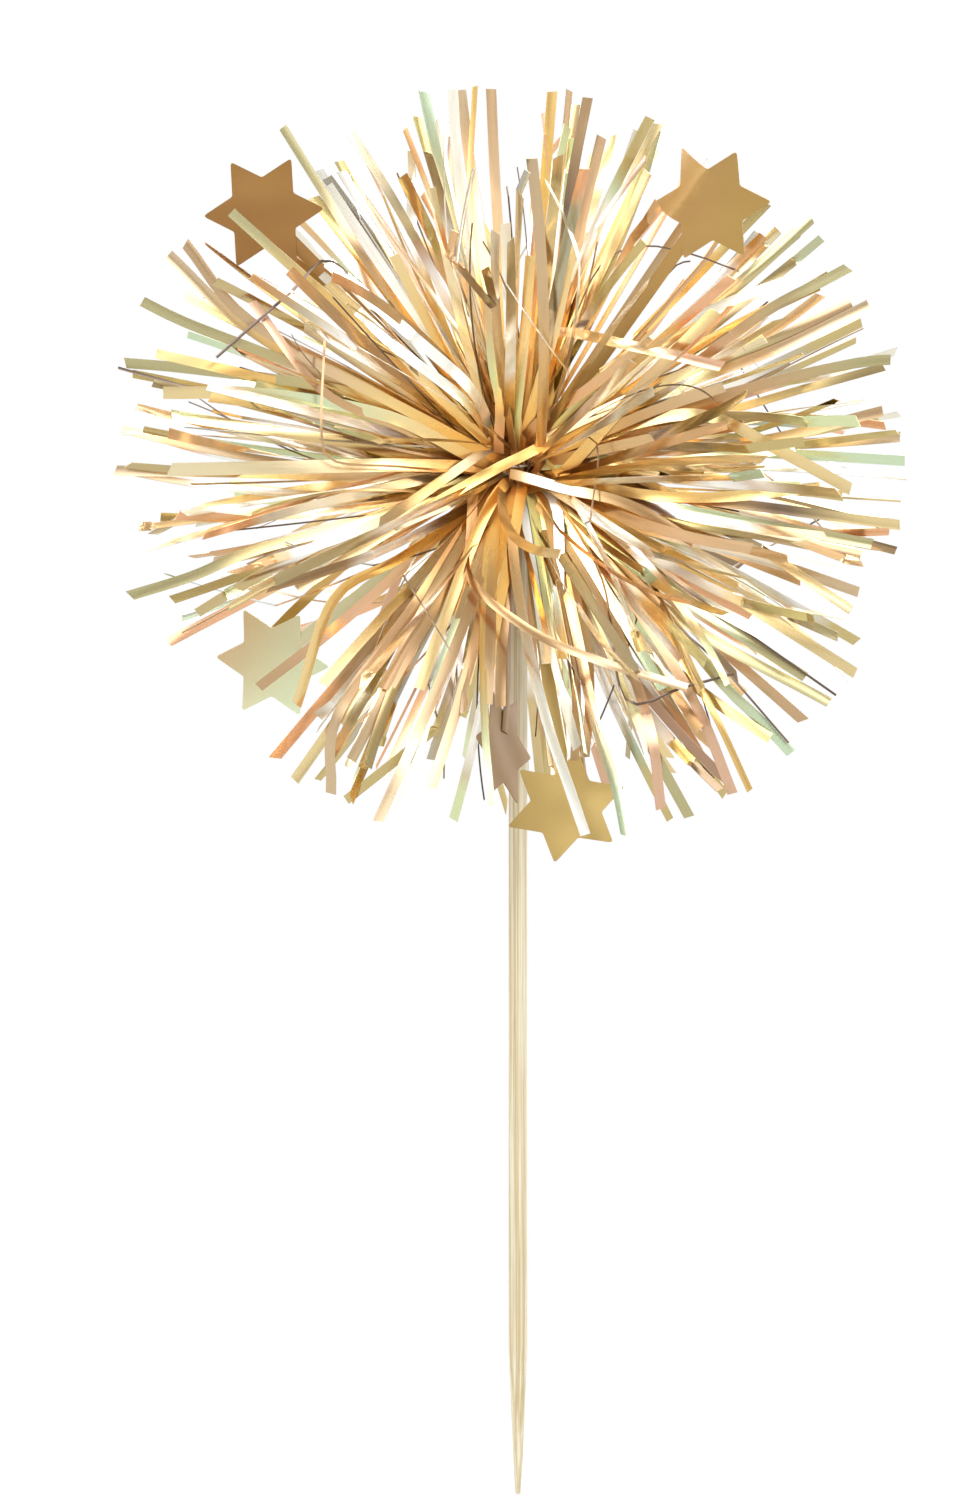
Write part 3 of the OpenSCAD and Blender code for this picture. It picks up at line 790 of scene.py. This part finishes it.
def with_painted_highlight(tints, line):
    """Tints with a painted highlight part of the way out, and a deeper tip, on some strips."""
    out = np.linalg.norm(line, axis=1)
    if rng.uniform() < PAINTED_HIGHLIGHT_SHARE:
        # Painted highlight: the tint fades to white round a place along the strip
        away = np.abs(out - rng.uniform(*PAINTED_HIGHLIGHT_PLACES)) / PAINTED_HIGHLIGHT_HALF
        pale = smooth(PAINTED_HIGHLIGHT_EDGE - away)[:, None]
        tints = tints * (1 - pale) + linear(TINTS["white"]) * pale
    if rng.uniform() < TIP_SHARE:
        start = out[-1] - rng.uniform(*TIP_LENGTHS)
        deep = smooth((out - start) / TIP_FADE)[:, None]
        tints = tints * (1 - deep) + pick_tint(TIP_SHARES) * deep
    return tints


def hank_name(direction):
    """The hank that holds a strip of this direction."""
    polar = math.degrees(math.acos(direction[2]))
    azimuth = math.degrees(math.atan2(direction[1], direction[0]))
    inner = polar < INNER_TOP_ANGLE or polar > INNER_SKIRT_ANGLE
    hanks = INNER_HANKS if inner else OUTER_HANKS
    return ("inner_" if inner else "outer_") + str(round(azimuth * hanks / 360) % hanks + 1)


def root_of(direction):
    """Which way a strip leaves the tie, how far from the axis, and at what angle round it."""
    name = hank_name(direction)
    inner = name.startswith("inner")
    hanks = INNER_HANKS if inner else OUTER_HANKS
    middle = 2 * math.pi * (int(name.split("_")[1]) - 1) / hanks
    half = math.pi / hanks * HANK_FILL
    out = rng.uniform(*(INNER_ROOTS if inner else OUTER_ROOTS))
    up = 1 if direction[2] + rng.normal(0, UP_SPREAD) > 0 else -1
    return up, out, middle + rng.uniform(-half, half)


def strip_line(direction, neck_stray, share, bends):
    """A whole strip from under the wire to its cut end."""
    neck = neck_line(direction, neck_stray, *root_of(direction))
    free, rolls, stretches = free_line(neck[-1], direction, bends)
    line = np.vstack((neck, free))
    rolls = np.concatenate((np.zeros(len(neck)), rolls))
    stretches = np.concatenate((np.zeros(len(neck), int), stretches))
    return trimmed(line, rolls, stretches, share)


def strip_widths(line, full):
    """Pinched under the wire and open at OPEN_R."""
    out = np.linalg.norm(line, axis=1)
    opened = smooth((out - GROOVE_H) / (OPEN_R - GROOVE_H))
    pinched = PINCH_W * min(1, full)
    return pinched + (full - pinched) * opened


def even_directions(count):
    """Directions spread evenly over the ball, apart from the cone round the pick."""
    top, bottom = np.cos(np.radians((TOP_ANGLE, SKIRT_ANGLE)))
    golden = math.pi * (3 - math.sqrt(5))
    for i in range(count):
        height = top + (bottom - top) * (i + 0.5) / count
        yield aim(math.degrees(math.acos(height)), math.degrees(golden * i))


def combed_direction(direction):
    """Where a strip near the front or back is combed to, or None if it stands as it is."""
    off = math.degrees(math.acos(min(1, abs(direction[1]))))
    standing_share = FRONT_STANDING_SHARE if direction[1] < 0 else BACK_STANDING_SHARE
    stands = off > STANDING_CONE and rng.uniform() < standing_share
    if off > COMBED_CONE or stands:
        return None
    flat = unit((direction + COMBED_SPREAD * rng.normal(size=3)) * IN_PICTURE)
    lean = math.radians(rng.uniform(*COMBED_LEANS))
    return flat * math.sin(lean) + DEPTH * np.sign(direction[1]) * math.cos(lean)


def clear_line(direction, stray, neck_stray, share, full, bends):
    """A strip near a direction that keeps out of the stars' way, or None."""
    room = full / 2 + LANE_GAP
    for attempt in range(TRIES):
        wide = stray * (1 + attempt / TRIES_TO_DOUBLE)
        near = turned(direction, any_square(direction), abs(rng.normal(0, wide)))
        if math.degrees(math.acos(near[2])) > SKIRT_ANGLE + SKIRT_ROOM:
            continue
        found = strip_line(near, neck_stray, share, bends)
        if not any(star.blocks(found[0], room) or star.hidden_by(found[0]) for star in stars):
            return near, found
    return None


sheaves = {}


def sheaf_of(direction):
    return sheaves.setdefault(hank_name(direction), Sheaf())


def add_strip(direction, share, full, bends, stray, lanes=LANES, cup=None, shares=None):
    """A random strip near a direction, unless the stars leave no room for it. Its bends are the
    number of creases, the spread of their angle, and the curl."""
    combed = combed_direction(direction)
    neck_stray = NECK_STRAY if combed is None else COMBED_STRAY
    direction = direction if combed is None else combed
    made = clear_line(direction, stray, neck_stray, share, full, bends)
    if made is None:
        return
    near, (line, rolls, stretches) = made
    cup = rng.normal(0, CUP_SPREAD) if cup is None else cup
    end = unit(line[-1] - line[-2])
    side = standing_side(end) if combed is None else lying_side(end, rng.normal(0, COMBED_TILT))
    tints = with_painted_light(stretch_tints(stretches, shares), line)
    if shares is None:
        tints = with_painted_highlight(tints, line)
    add_ribbon(
        sheaf_of(near), line, rolls - rolls[-1] / 2, strip_widths(line, full), tints, side,
        cup=cup, cut=rng.normal(0, CUT_SPREAD), lanes=lanes,
    )


def through(points):
    """A smooth line through points."""
    padded = np.vstack((2 * points[0] - points[1], points, 2 * points[-1] - points[-2]))
    line = [points[0]]
    for a, b, c, d in zip(padded, padded[1:], padded[2:], padded[3:]):
        count = max(2, math.ceil(np.linalg.norm(c - b) / STEP))
        for t in np.linspace(0, 1, count + 1)[1:]:
            bend = (2 * a - 5 * b + 4 * c - d) * t**2 + (3 * b - a - 3 * c + d) * t**3
            line.append(b + ((c - a) * t + bend) / 2)
    return np.array(line)


def placed_point(x, y, depth):
    """A pixel of the photograph, at a depth."""
    return np.array(((x - TIE_PX[0]) / PX_PER_MM, depth, (TIE_PX[1] - y) / PX_PER_MM))


def placed_tints(tints, share):
    """Tints named in a row, at shares of a strip's length; white is a painted highlight, brightened by a
    gain.
    """
    names = tints.split()
    marks = np.linspace(*PLACED_TINT_ENDS, len(names))
    colours = np.array([linear(TINTS[name]) * (PAINTED_HIGHLIGHT_GAIN if name == "white" else 1) for name in names])
    return np.column_stack([np.interp(share, marks, channel) for channel in colours.T])


def add_placed(tints, at, wide, tilt):
    """A strip from under the wire through points of the photograph, with its face to the front."""
    points = np.array([placed_point(*p) for p in at])
    root = PLACED_ROOT_R * unit(points[0] * LEVEL)
    up = 1 if points[0][2] > 0 else -1
    line = through(np.vstack((root, root + UP * (up * GROOVE_H), points)))
    share = np.linspace(0, 1, len(line))
    end = unit(line[-1] - line[-2])
    side = lying_side(end, tilt + rng.normal(0, PLACED_TILT_SPREAD))
    rolls = rng.normal(0, PLACED_ROLL_SPREAD) * (1 - share)
    add_ribbon(
        sheaf_of(unit(line[-1])), line, rolls, strip_widths(line, wide),
        with_painted_light(placed_tints(tints, share), line), side,
        cup=rng.normal(0, PLACED_CUP_SPREAD), cut=rng.normal(0, PLACED_CUT_SPREAD),
    )


def build_placed(strips):
    for placed in strips.values():
        add_placed(**placed)


def random_curl(spread, limit):
    return np.clip(rng.normal(0, spread), -limit, limit)


def build_strips():
    for direction in even_directions(STRIP_COUNT):
        whole = rng.uniform() < FULL_SHARE
        share = 1 - abs(rng.normal(0, FULL_SPREAD)) if whole else rng.uniform(*SHORT_LENGTHS)
        creases = rng.choice(len(CREASE_SHARES), p=CREASE_SHARES)
        crease_angle = rng.choice(CREASE_ANGLES, p=CREASE_ANGLE_SHARES)
        full = STRIP_W * rng.uniform(*STRIP_WIDTHS)
        curl = random_curl(CURL_SPREAD, CURL_LIMIT)
        add_strip(direction, share, full, (creases, crease_angle, curl), STRIP_STRAY)


def build_slivers():
    for direction in even_directions(SLIVER_COUNT):
        share = rng.uniform(*SLIVER_LENGTHS)
        full = rng.uniform(*SLIVER_WIDTHS)
        curl = random_curl(CURL_SPREAD, CURL_LIMIT)
        bends = (rng.choice(len(CREASE_SHARES)), SLIVER_CREASE, curl)
        add_strip(direction, share, full, bends, FINE_STRAY, lanes=SLIVER_LANES)


def build_threads():
    for direction in even_directions(THREAD_COUNT):
        share = rng.uniform(*THREAD_LENGTHS)
        curl = random_curl(THREAD_CURL_SPREAD, THREAD_CURL_LIMIT)
        bends = (rng.choice(len(CREASE_SHARES)), THREAD_CREASE, curl)
        add_strip(direction, share, THREAD_W, bends, FINE_STRAY, THREAD_LANES, 0.0, THREAD_SHARES)


def build_tuft(hank, sheaf, material):
    """The foil of one hank, in place of its solid."""
    tuft = sheaf.piece("foil_" + hank, material)
    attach(tuft, "topper")
    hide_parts("tinsel_" + hank)


def star_outline():
    """Outline of a star about its middle, with rounded points and notches."""
    angles = 2 * math.pi / STAR_CORNERS * np.arange(STAR_CORNERS)
    far = np.tile((STAR_R, STAR_NOTCH), STAR_CORNERS // 2)
    corners = np.column_stack((far * np.cos(angles), far * np.sin(angles)))
    outline = []
    for i, corner in enumerate(corners):
        before, after = corners[i - 1], corners[(i + 1) % STAR_CORNERS]
        back = POINT_ROUND if i % 2 == 0 else NOTCH_ROUND
        a = corner + unit(before - corner) * back
        b = corner + unit(after - corner) * back
        for s in np.linspace(0, 1, ROUND_POINTS):
            outline.append((1 - s) ** 2 * a + 2 * s * (1 - s) * corner + s**2 * b)
        for s in EDGE_SHARES:
            outline.append(b + (after + unit(corner - after) * back - b) * s)
    return np.array(outline)


def star_height(x, y, star):
    """How far the foil of a star stands out of its plane: a bow, a dent and a soft fold."""
    bow = star.bow * ((x * BOW_ALONG + y * BOW_ACROSS) ** 2 / STAR_R**2 - BOW_LEVEL)
    dent = DENT * np.sin(x * DENT_ALONG + DENT_START) * np.cos(y * DENT_ACROSS + star.bow * DENT_TURN)
    fold = star.fold * FOLD_RATE * np.maximum(0, y - FOLD_START) ** FOLD_POWER
    return bow + dent - fold


def star_foil(star):
    """A cut foil star, two faces a foil's thickness apart and joined round the edge."""
    outline = star_outline()
    shrink = 1 - np.linspace(0, 1, STAR_RINGS)[:-1] ** RING_POWER
    flat = np.vstack([outline * s for s in shrink] + [np.zeros((1, 2))])
    cos_t, sin_t = math.cos(star.turn), math.sin(star.turn)
    x = flat[:, 0] * cos_t - flat[:, 1] * sin_t
    y = flat[:, 0] * sin_t + flat[:, 1] * cos_t
    height = star_height(x, y, star)
    base = star.middle + np.outer(x, star.along) + np.outer(y, star.across)
    front = base + np.outer(height + STAR_T / 2, star.face)
    back = base + np.outer(height - STAR_T / 2, star.face)
    count = len(outline)
    middle = len(shrink) * count
    total = middle + 1
    inner = middle - count
    quads = band_faces(len(shrink), count)
    faces = quads.tolist() + (total + quads[:, ::-1]).tolist()
    for i in range(count):
        j = (i + 1) % count
        faces.append((inner + i, inner + j, middle))
        faces.append((total + middle, total + inner + j, total + inner + i))
        faces.append((total + i, total + j, j, i))
    # Painted reflection: the star's two tints blend across its face
    tone = smooth(0.5 + (x * STAR_REFLECTION_ALONG - y * STAR_REFLECTION_ACROSS) / (2 * STAR_R))[:, None]
    tints = star.tints[0] * (1 - tone) + star.tints[1] * tone
    places = np.column_stack((x / STAR_R, y, np.full(len(x), star.long)))
    sheaf = Sheaf()
    sheaf.add(np.vstack((front, back)), faces, np.vstack((tints, tints)), np.vstack((places, places)))
    return sheaf


def build_star(star, material):
    made = star_foil(star).piece("star_foil_" + star.name, material)
    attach(made, star.body)
    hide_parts("star_" + star.name)


def build_stem(star, material):
    """The strip that carries a star, from under the wire to behind the star's middle."""
    up = 1 if star.hinge[2] > 0 else -1
    root = unit(star.hinge * LEVEL) * STEM_ROOT_R
    low = root + UP * (up * GROOVE_H)
    far = np.arange(STEM_START, star.long - STAR_NOTCH * STEM_END, STEP)
    wave = STEM_WAVE * np.sin(far * STEM_WAVE_RATE)
    run = star.hinge + np.outer(far, star.along) + np.outer(wave, star.face)
    line = np.vstack((root, low, star.hinge, run))
    widths = np.concatenate((np.full(len(line) - len(run), STEM_PINCH_W), 2 * star.stem_half(far)))
    tints = np.repeat([(star.tints[0] + star.tints[1]) / 2], len(line), axis=0)
    sheaf = Sheaf()
    add_ribbon(sheaf, line, np.zeros(len(line)), widths, tints, star.across, cup=STEM_CUP)
    made = sheaf.piece("stem_" + star.name, material)
    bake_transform(made)


def build_wire(material):
    """The tie: round wire in even turns with short straight ends."""
    turn = np.linspace(0, WIRE_TURNS, WIRE_STEPS * WIRE_TURNS + 1)
    angle = 2 * math.pi * turn
    rise = WIRE_PITCH * (turn - WIRE_TURNS / 2)
    line = np.column_stack((WIRE_R * np.cos(angle), WIRE_R * np.sin(angle), rise))
    along = line_directions(line)
    line = np.vstack((line[0] - along[0] * WIRE_D, line, line[-1] + along[-1] * WIRE_D))
    along = np.vstack((along[:1], along, along[-1:]))
    side = carried_sides(along, UP)
    other = np.cross(along, side)
    spin = 2 * math.pi * np.arange(WIRE_SIDES) / WIRE_SIDES
    rings = [
        line[p] + WIRE_D / 2 * (np.outer(np.cos(spin), side[p]) + np.outer(np.sin(spin), other[p]))
        for p in range(len(line))
    ]
    count = WIRE_SIDES * len(line)
    faces = band_faces(len(line), WIRE_SIDES).tolist()
    faces += [range(WIRE_SIDES)[::-1], range(count - WIRE_SIDES, count)]
    tints = np.repeat([linear(WIRE_TINT)], count, axis=0)
    travelled = np.repeat(np.arange(len(line)) * WIRE_STEP, WIRE_SIDES)
    sheaf = Sheaf()
    places = np.column_stack((np.tile(spin, len(line)), travelled, np.zeros(count)))
    sheaf.add(np.vstack(rings), faces, tints, places)
    made = sheaf.piece("tie_coil", material)
    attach(made, "topper")
    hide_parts("tie_wire")


class Graph:
    """The nodes of a material or a world."""

    def __init__(self, tree):
        self.nodes = tree.nodes
        self.links = tree.links

    def feed(self, node, inputs):
        """Inputs of a node, each linked to a socket or set to a value."""
        for name, value in inputs.items():
            if isinstance(value, bpy.types.NodeSocket):
                self.links.new(value, node.inputs[name])
            else:
                node.inputs[name].default_value = value

    def add(self, kind, inputs=None, **properties):
        made = self.nodes.new("ShaderNode" + kind)
        for name, value in properties.items():
            setattr(made, name, value)
        self.feed(made, inputs or {})
        return made

    def attribute(self, name, output):
        return self.add("Attribute", attribute_name=name).outputs[output]

    def math(self, operation, first, second):
        return self.add("Math", {0: first, 1: second}, operation=operation).outputs[0]

    def noise(self, vector, scale, detail=3.0):
        """A noise texture over a vector stretched by a scale for each axis."""
        stretched = self.add("VectorMath", {0: vector, 1: scale}, operation="MULTIPLY").outputs[0]
        inputs = {"Vector": stretched, "Scale": 1.0, "Detail": detail, "Roughness": NOISE_ROUGH}
        return self.add("TexNoise", inputs).outputs["Fac"]

    def ranged(self, value, low, high, start=0.3, end=0.7):
        """value from start to end mapped to low to high."""
        inputs = {"Value": value, "From Min": start, "From Max": end, "To Min": low, "To Max": high}
        return self.add("MapRange", inputs).outputs["Result"]

    def scaled(self, colour, factor):
        return self.add("VectorMath", {0: colour, "Scale": factor}, operation="SCALE").outputs[0]

    def ramp(self, value, places, colours):
        """A colour between two, over two places."""
        made = self.add("ValToRGB", {"Fac": value})
        for element, place, colour in zip(made.color_ramp.elements, places, colours):
            element.position = place
            element.color = colour
        return made.outputs["Color"]

    def mixed(self, factor, first, second):
        """Two shaders mixed, with all of the second at a factor of one."""
        return self.add("MixShader", {"Fac": factor, 1: first.outputs[0], 2: second.outputs[0]})

    def bump(self, height, strength, distance):
        return self.add("Bump", {"Height": height, "Strength": strength, "Distance": distance}).outputs[0]


def node_material(name):
    """A new node material, its graph and its shader."""
    made = bpy.data.materials.new(name)
    made.use_nodes = True
    graph = Graph(made.node_tree)
    return made, graph, graph.nodes["Principled BSDF"]


def foil_material(name, rough, scuff, metal, streak, grain):
    """Metal foil in its tints and painted light, with lengthwise streaks, fine grain and scuffs near the
    tie.
    """
    made, graph, shader = node_material(name)
    tint = graph.attribute("foil_tint", "Color")
    place = graph.attribute("foil_place", "Vector")
    streaks = graph.noise(place, streak)
    grains = graph.noise(place, grain, detail=2.0)
    streak_shade = graph.ranged(streaks, *STREAK_SHADE)
    shade = graph.math("MULTIPLY", streak_shade, graph.ranged(grains, *GRAIN_SHADE))
    blue = graph.add("SeparateColor", {"Color": tint}).outputs["Blue"]
    far = graph.add("SeparateXYZ", {0: place}).outputs["Y"]
    scuffed = graph.ranged(far, scuff, 0.0, *SCUFF_SPAN)
    graph.feed(shader, {
        "Base Color": graph.scaled(tint, shade),
        "Metallic": graph.ranged(blue, *metal),
        "Roughness": graph.math("ADD", graph.ranged(streaks, *rough), scuffed),
        "Specular IOR Level": FOIL_COAT,
    })
    return made


def wire_material():
    """Bright drawn wire."""
    made, graph, shader = node_material("tie_steel")
    drawn = graph.noise(graph.attribute("foil_place", "Vector"), WIRE_STREAK)
    graph.feed(shader, {
        "Base Color": graph.scaled(graph.attribute("foil_tint", "Color"), graph.ranged(drawn, *WIRE_SHADE)),
        "Metallic": 1.0,
        "Roughness": graph.ranged(drawn, *WIRE_ROUGH),
        "Normal": graph.bump(drawn, WIRE_BUMP, WIRE_BUMP_H * MM),
    })
    return made


def bamboo_material():
    """Split bamboo: long fibres, darker vessels and a dry, slightly waxy surface."""
    made, graph, shader = node_material("bamboo_grain")
    where = graph.add("TexCoord").outputs["Object"]
    fibres = graph.noise(where, FIBRE_SCALE, detail=5.0)
    bands = graph.noise(where, BAND_SCALE, detail=2.0)
    vessels = graph.noise(where, VESSEL_SCALE, detail=1.0)
    total = graph.math("ADD", graph.ranged(fibres, *FIBRE_PART), graph.ranged(bands, *BAND_PART))
    tint = graph.ramp(total, BAMBOO_SPAN, [(*linear(code), 1) for code in BAMBOO_TINTS])
    graph.feed(shader, {
        "Base Color": graph.scaled(tint, graph.ranged(vessels, *VESSEL_SHADE, *VESSEL_SPAN)),
        "Roughness": graph.ranged(fibres, *BAMBOO_ROUGH),
        "Normal": graph.bump(total, BAMBOO_BUMP, BAMBOO_BUMP_H * MM),
    })
    return made


def floor_material():
    """Pale grey that fades into the white background, and clear from below."""
    made, graph, shader = node_material("floor_white")
    graph.feed(shader, {"Base Color": FLOOR_GREY, "Roughness": FLOOR_ROUGH})
    rays = graph.add("LightPath").outputs
    where = graph.add("TexCoord").outputs["Object"]
    far = graph.add("VectorMath", {0: where}, operation="LENGTH").outputs["Value"]
    seen = graph.math("MAXIMUM", rays["Is Camera Ray"], rays["Is Transmission Ray"])
    seen = graph.math("MAXIMUM", seen, rays["Is Glossy Ray"])
    white = graph.math("MULTIPLY", seen, graph.ranged(far, *FLOOR_WHITE, *FLOOR_FADE))
    faded = graph.mixed(white, shader, graph.add("Emission"))
    below = graph.add("NewGeometry").outputs["Backfacing"]
    sided = graph.mixed(below, faded, graph.add("BsdfTransparent"))
    graph.feed(graph.nodes["Material Output"], {"Surface": sided.outputs[0]})
    return made


def build_floor():
    bpy.ops.mesh.primitive_circle_add(
        vertices=FLOOR_SIDES, radius=FLOOR_R, fill_type="NGON", location=(0, 0, cad_low.z - FLOOR_GAP * MM),
    )
    floor = bpy.context.object
    floor.name = "floor"
    floor.data.materials.append(floor_material())


def build_world():
    """A white background, and a room that is dimmer in front than behind for the foil to reflect."""
    world = bpy.data.worlds.new("studio")
    bpy.context.scene.world = world
    world.use_nodes = True
    graph = Graph(world.node_tree)
    graph.nodes.clear()
    rays = graph.add("LightPath").outputs
    way = graph.add("TexCoord").outputs["Generated"]
    depth = graph.add("SeparateXYZ", {0: way}).outputs["Y"]
    moved = graph.add("VectorMath", {0: way, 1: PANEL_SHIFT}, operation="ADD").outputs[0]
    panels = graph.noise(moved, PANEL_SCALE, detail=0.0)
    panel_light = graph.ranged(panels, *PANEL_LIGHT, *PANEL_SPAN)
    back_light = graph.ranged(depth, *BACK_LIGHT, *BACK_SPAN)
    shine = graph.add("Background", {
        "Color": graph.ramp(panels, PANEL_SPAN, PANEL_TINTS),
        "Strength": graph.math("ADD", panel_light, back_light),
    })
    room = graph.add("Background", {"Color": ROOM_TINT, "Strength": ROOM_LIGHT})
    white = graph.add("Background", {"Color": WHITE})
    lit = graph.mixed(rays["Is Glossy Ray"], room, shine)
    seen = graph.math("MAXIMUM", rays["Is Camera Ray"], rays["Is Transmission Ray"])
    graph.add("OutputWorld", {"Surface": graph.mixed(seen, lit, white).outputs[0]})


def build_light(name, place, size, power):
    """A square softbox at a place in metres, turned to the burst."""
    lamp = bpy.data.lights.new(name, "AREA")
    lamp.shape = "SQUARE"
    lamp.size = size
    lamp.energy = power
    made = new_object(name, lamp)
    made.location = place
    back = made.location.copy()
    back.z -= TIE_Z * MM
    made.rotation_mode = "QUATERNION"
    made.rotation_quaternion = back.to_track_quat("Z", "Y")


def build_camera():
    """Level with the middle of the photograph and square to its plane."""
    lens = bpy.data.cameras.new("camera")
    lens.sensor_width = SENSOR
    lens.lens = SENSOR * CAMERA_AWAY / (PHOTO_H / PX_PER_MM)
    camera = new_object("camera", lens)
    x = (PHOTO_W / 2 - TIE_PX[0]) / PX_PER_MM
    z = TIE_Z + (TIE_PX[1] - PHOTO_H / 2) / PX_PER_MM
    camera.location = (x * MM, -CAMERA_AWAY * MM, z * MM)
    camera.rotation_euler = (math.pi / 2, 0, 0)
    bpy.context.scene.camera = camera


build_camera()
build_placed(FIRST_PLACED)
build_strips()
build_slivers()
build_threads()
build_placed(LAST_PLACED)
inner_foil = foil_material("foil_inner", INNER_ROUGH, STRIP_SCUFF, STRIP_METAL, STRIP_STREAK, STRIP_GRAIN)
outer_foil = foil_material("foil_outer", OUTER_ROUGH, STRIP_SCUFF, STRIP_METAL, STRIP_STREAK, STRIP_GRAIN)
satin_foil = foil_material("foil_satin", STAR_ROUGH, STAR_SCUFF, STAR_METAL, STAR_STREAK, STAR_GRAIN)
for hank, sheaf in sorted(sheaves.items()):
    if hank.startswith("inner"):
        build_tuft(hank, sheaf, inner_foil)
    else:
        build_tuft(hank, sheaf, outer_foil)
for star in stars:
    build_star(star, satin_foil)
    build_stem(star, satin_foil)
build_wire(wire_material())
pick = frame["nodes"]["pick"]
pick.data.materials.clear()
pick.data.materials.append(bamboo_material())

build_floor()
build_world()
for name, lamp in LAMPS.items():
    build_light(name, **lamp)
bpy.context.scene.view_settings.view_transform = "Standard"
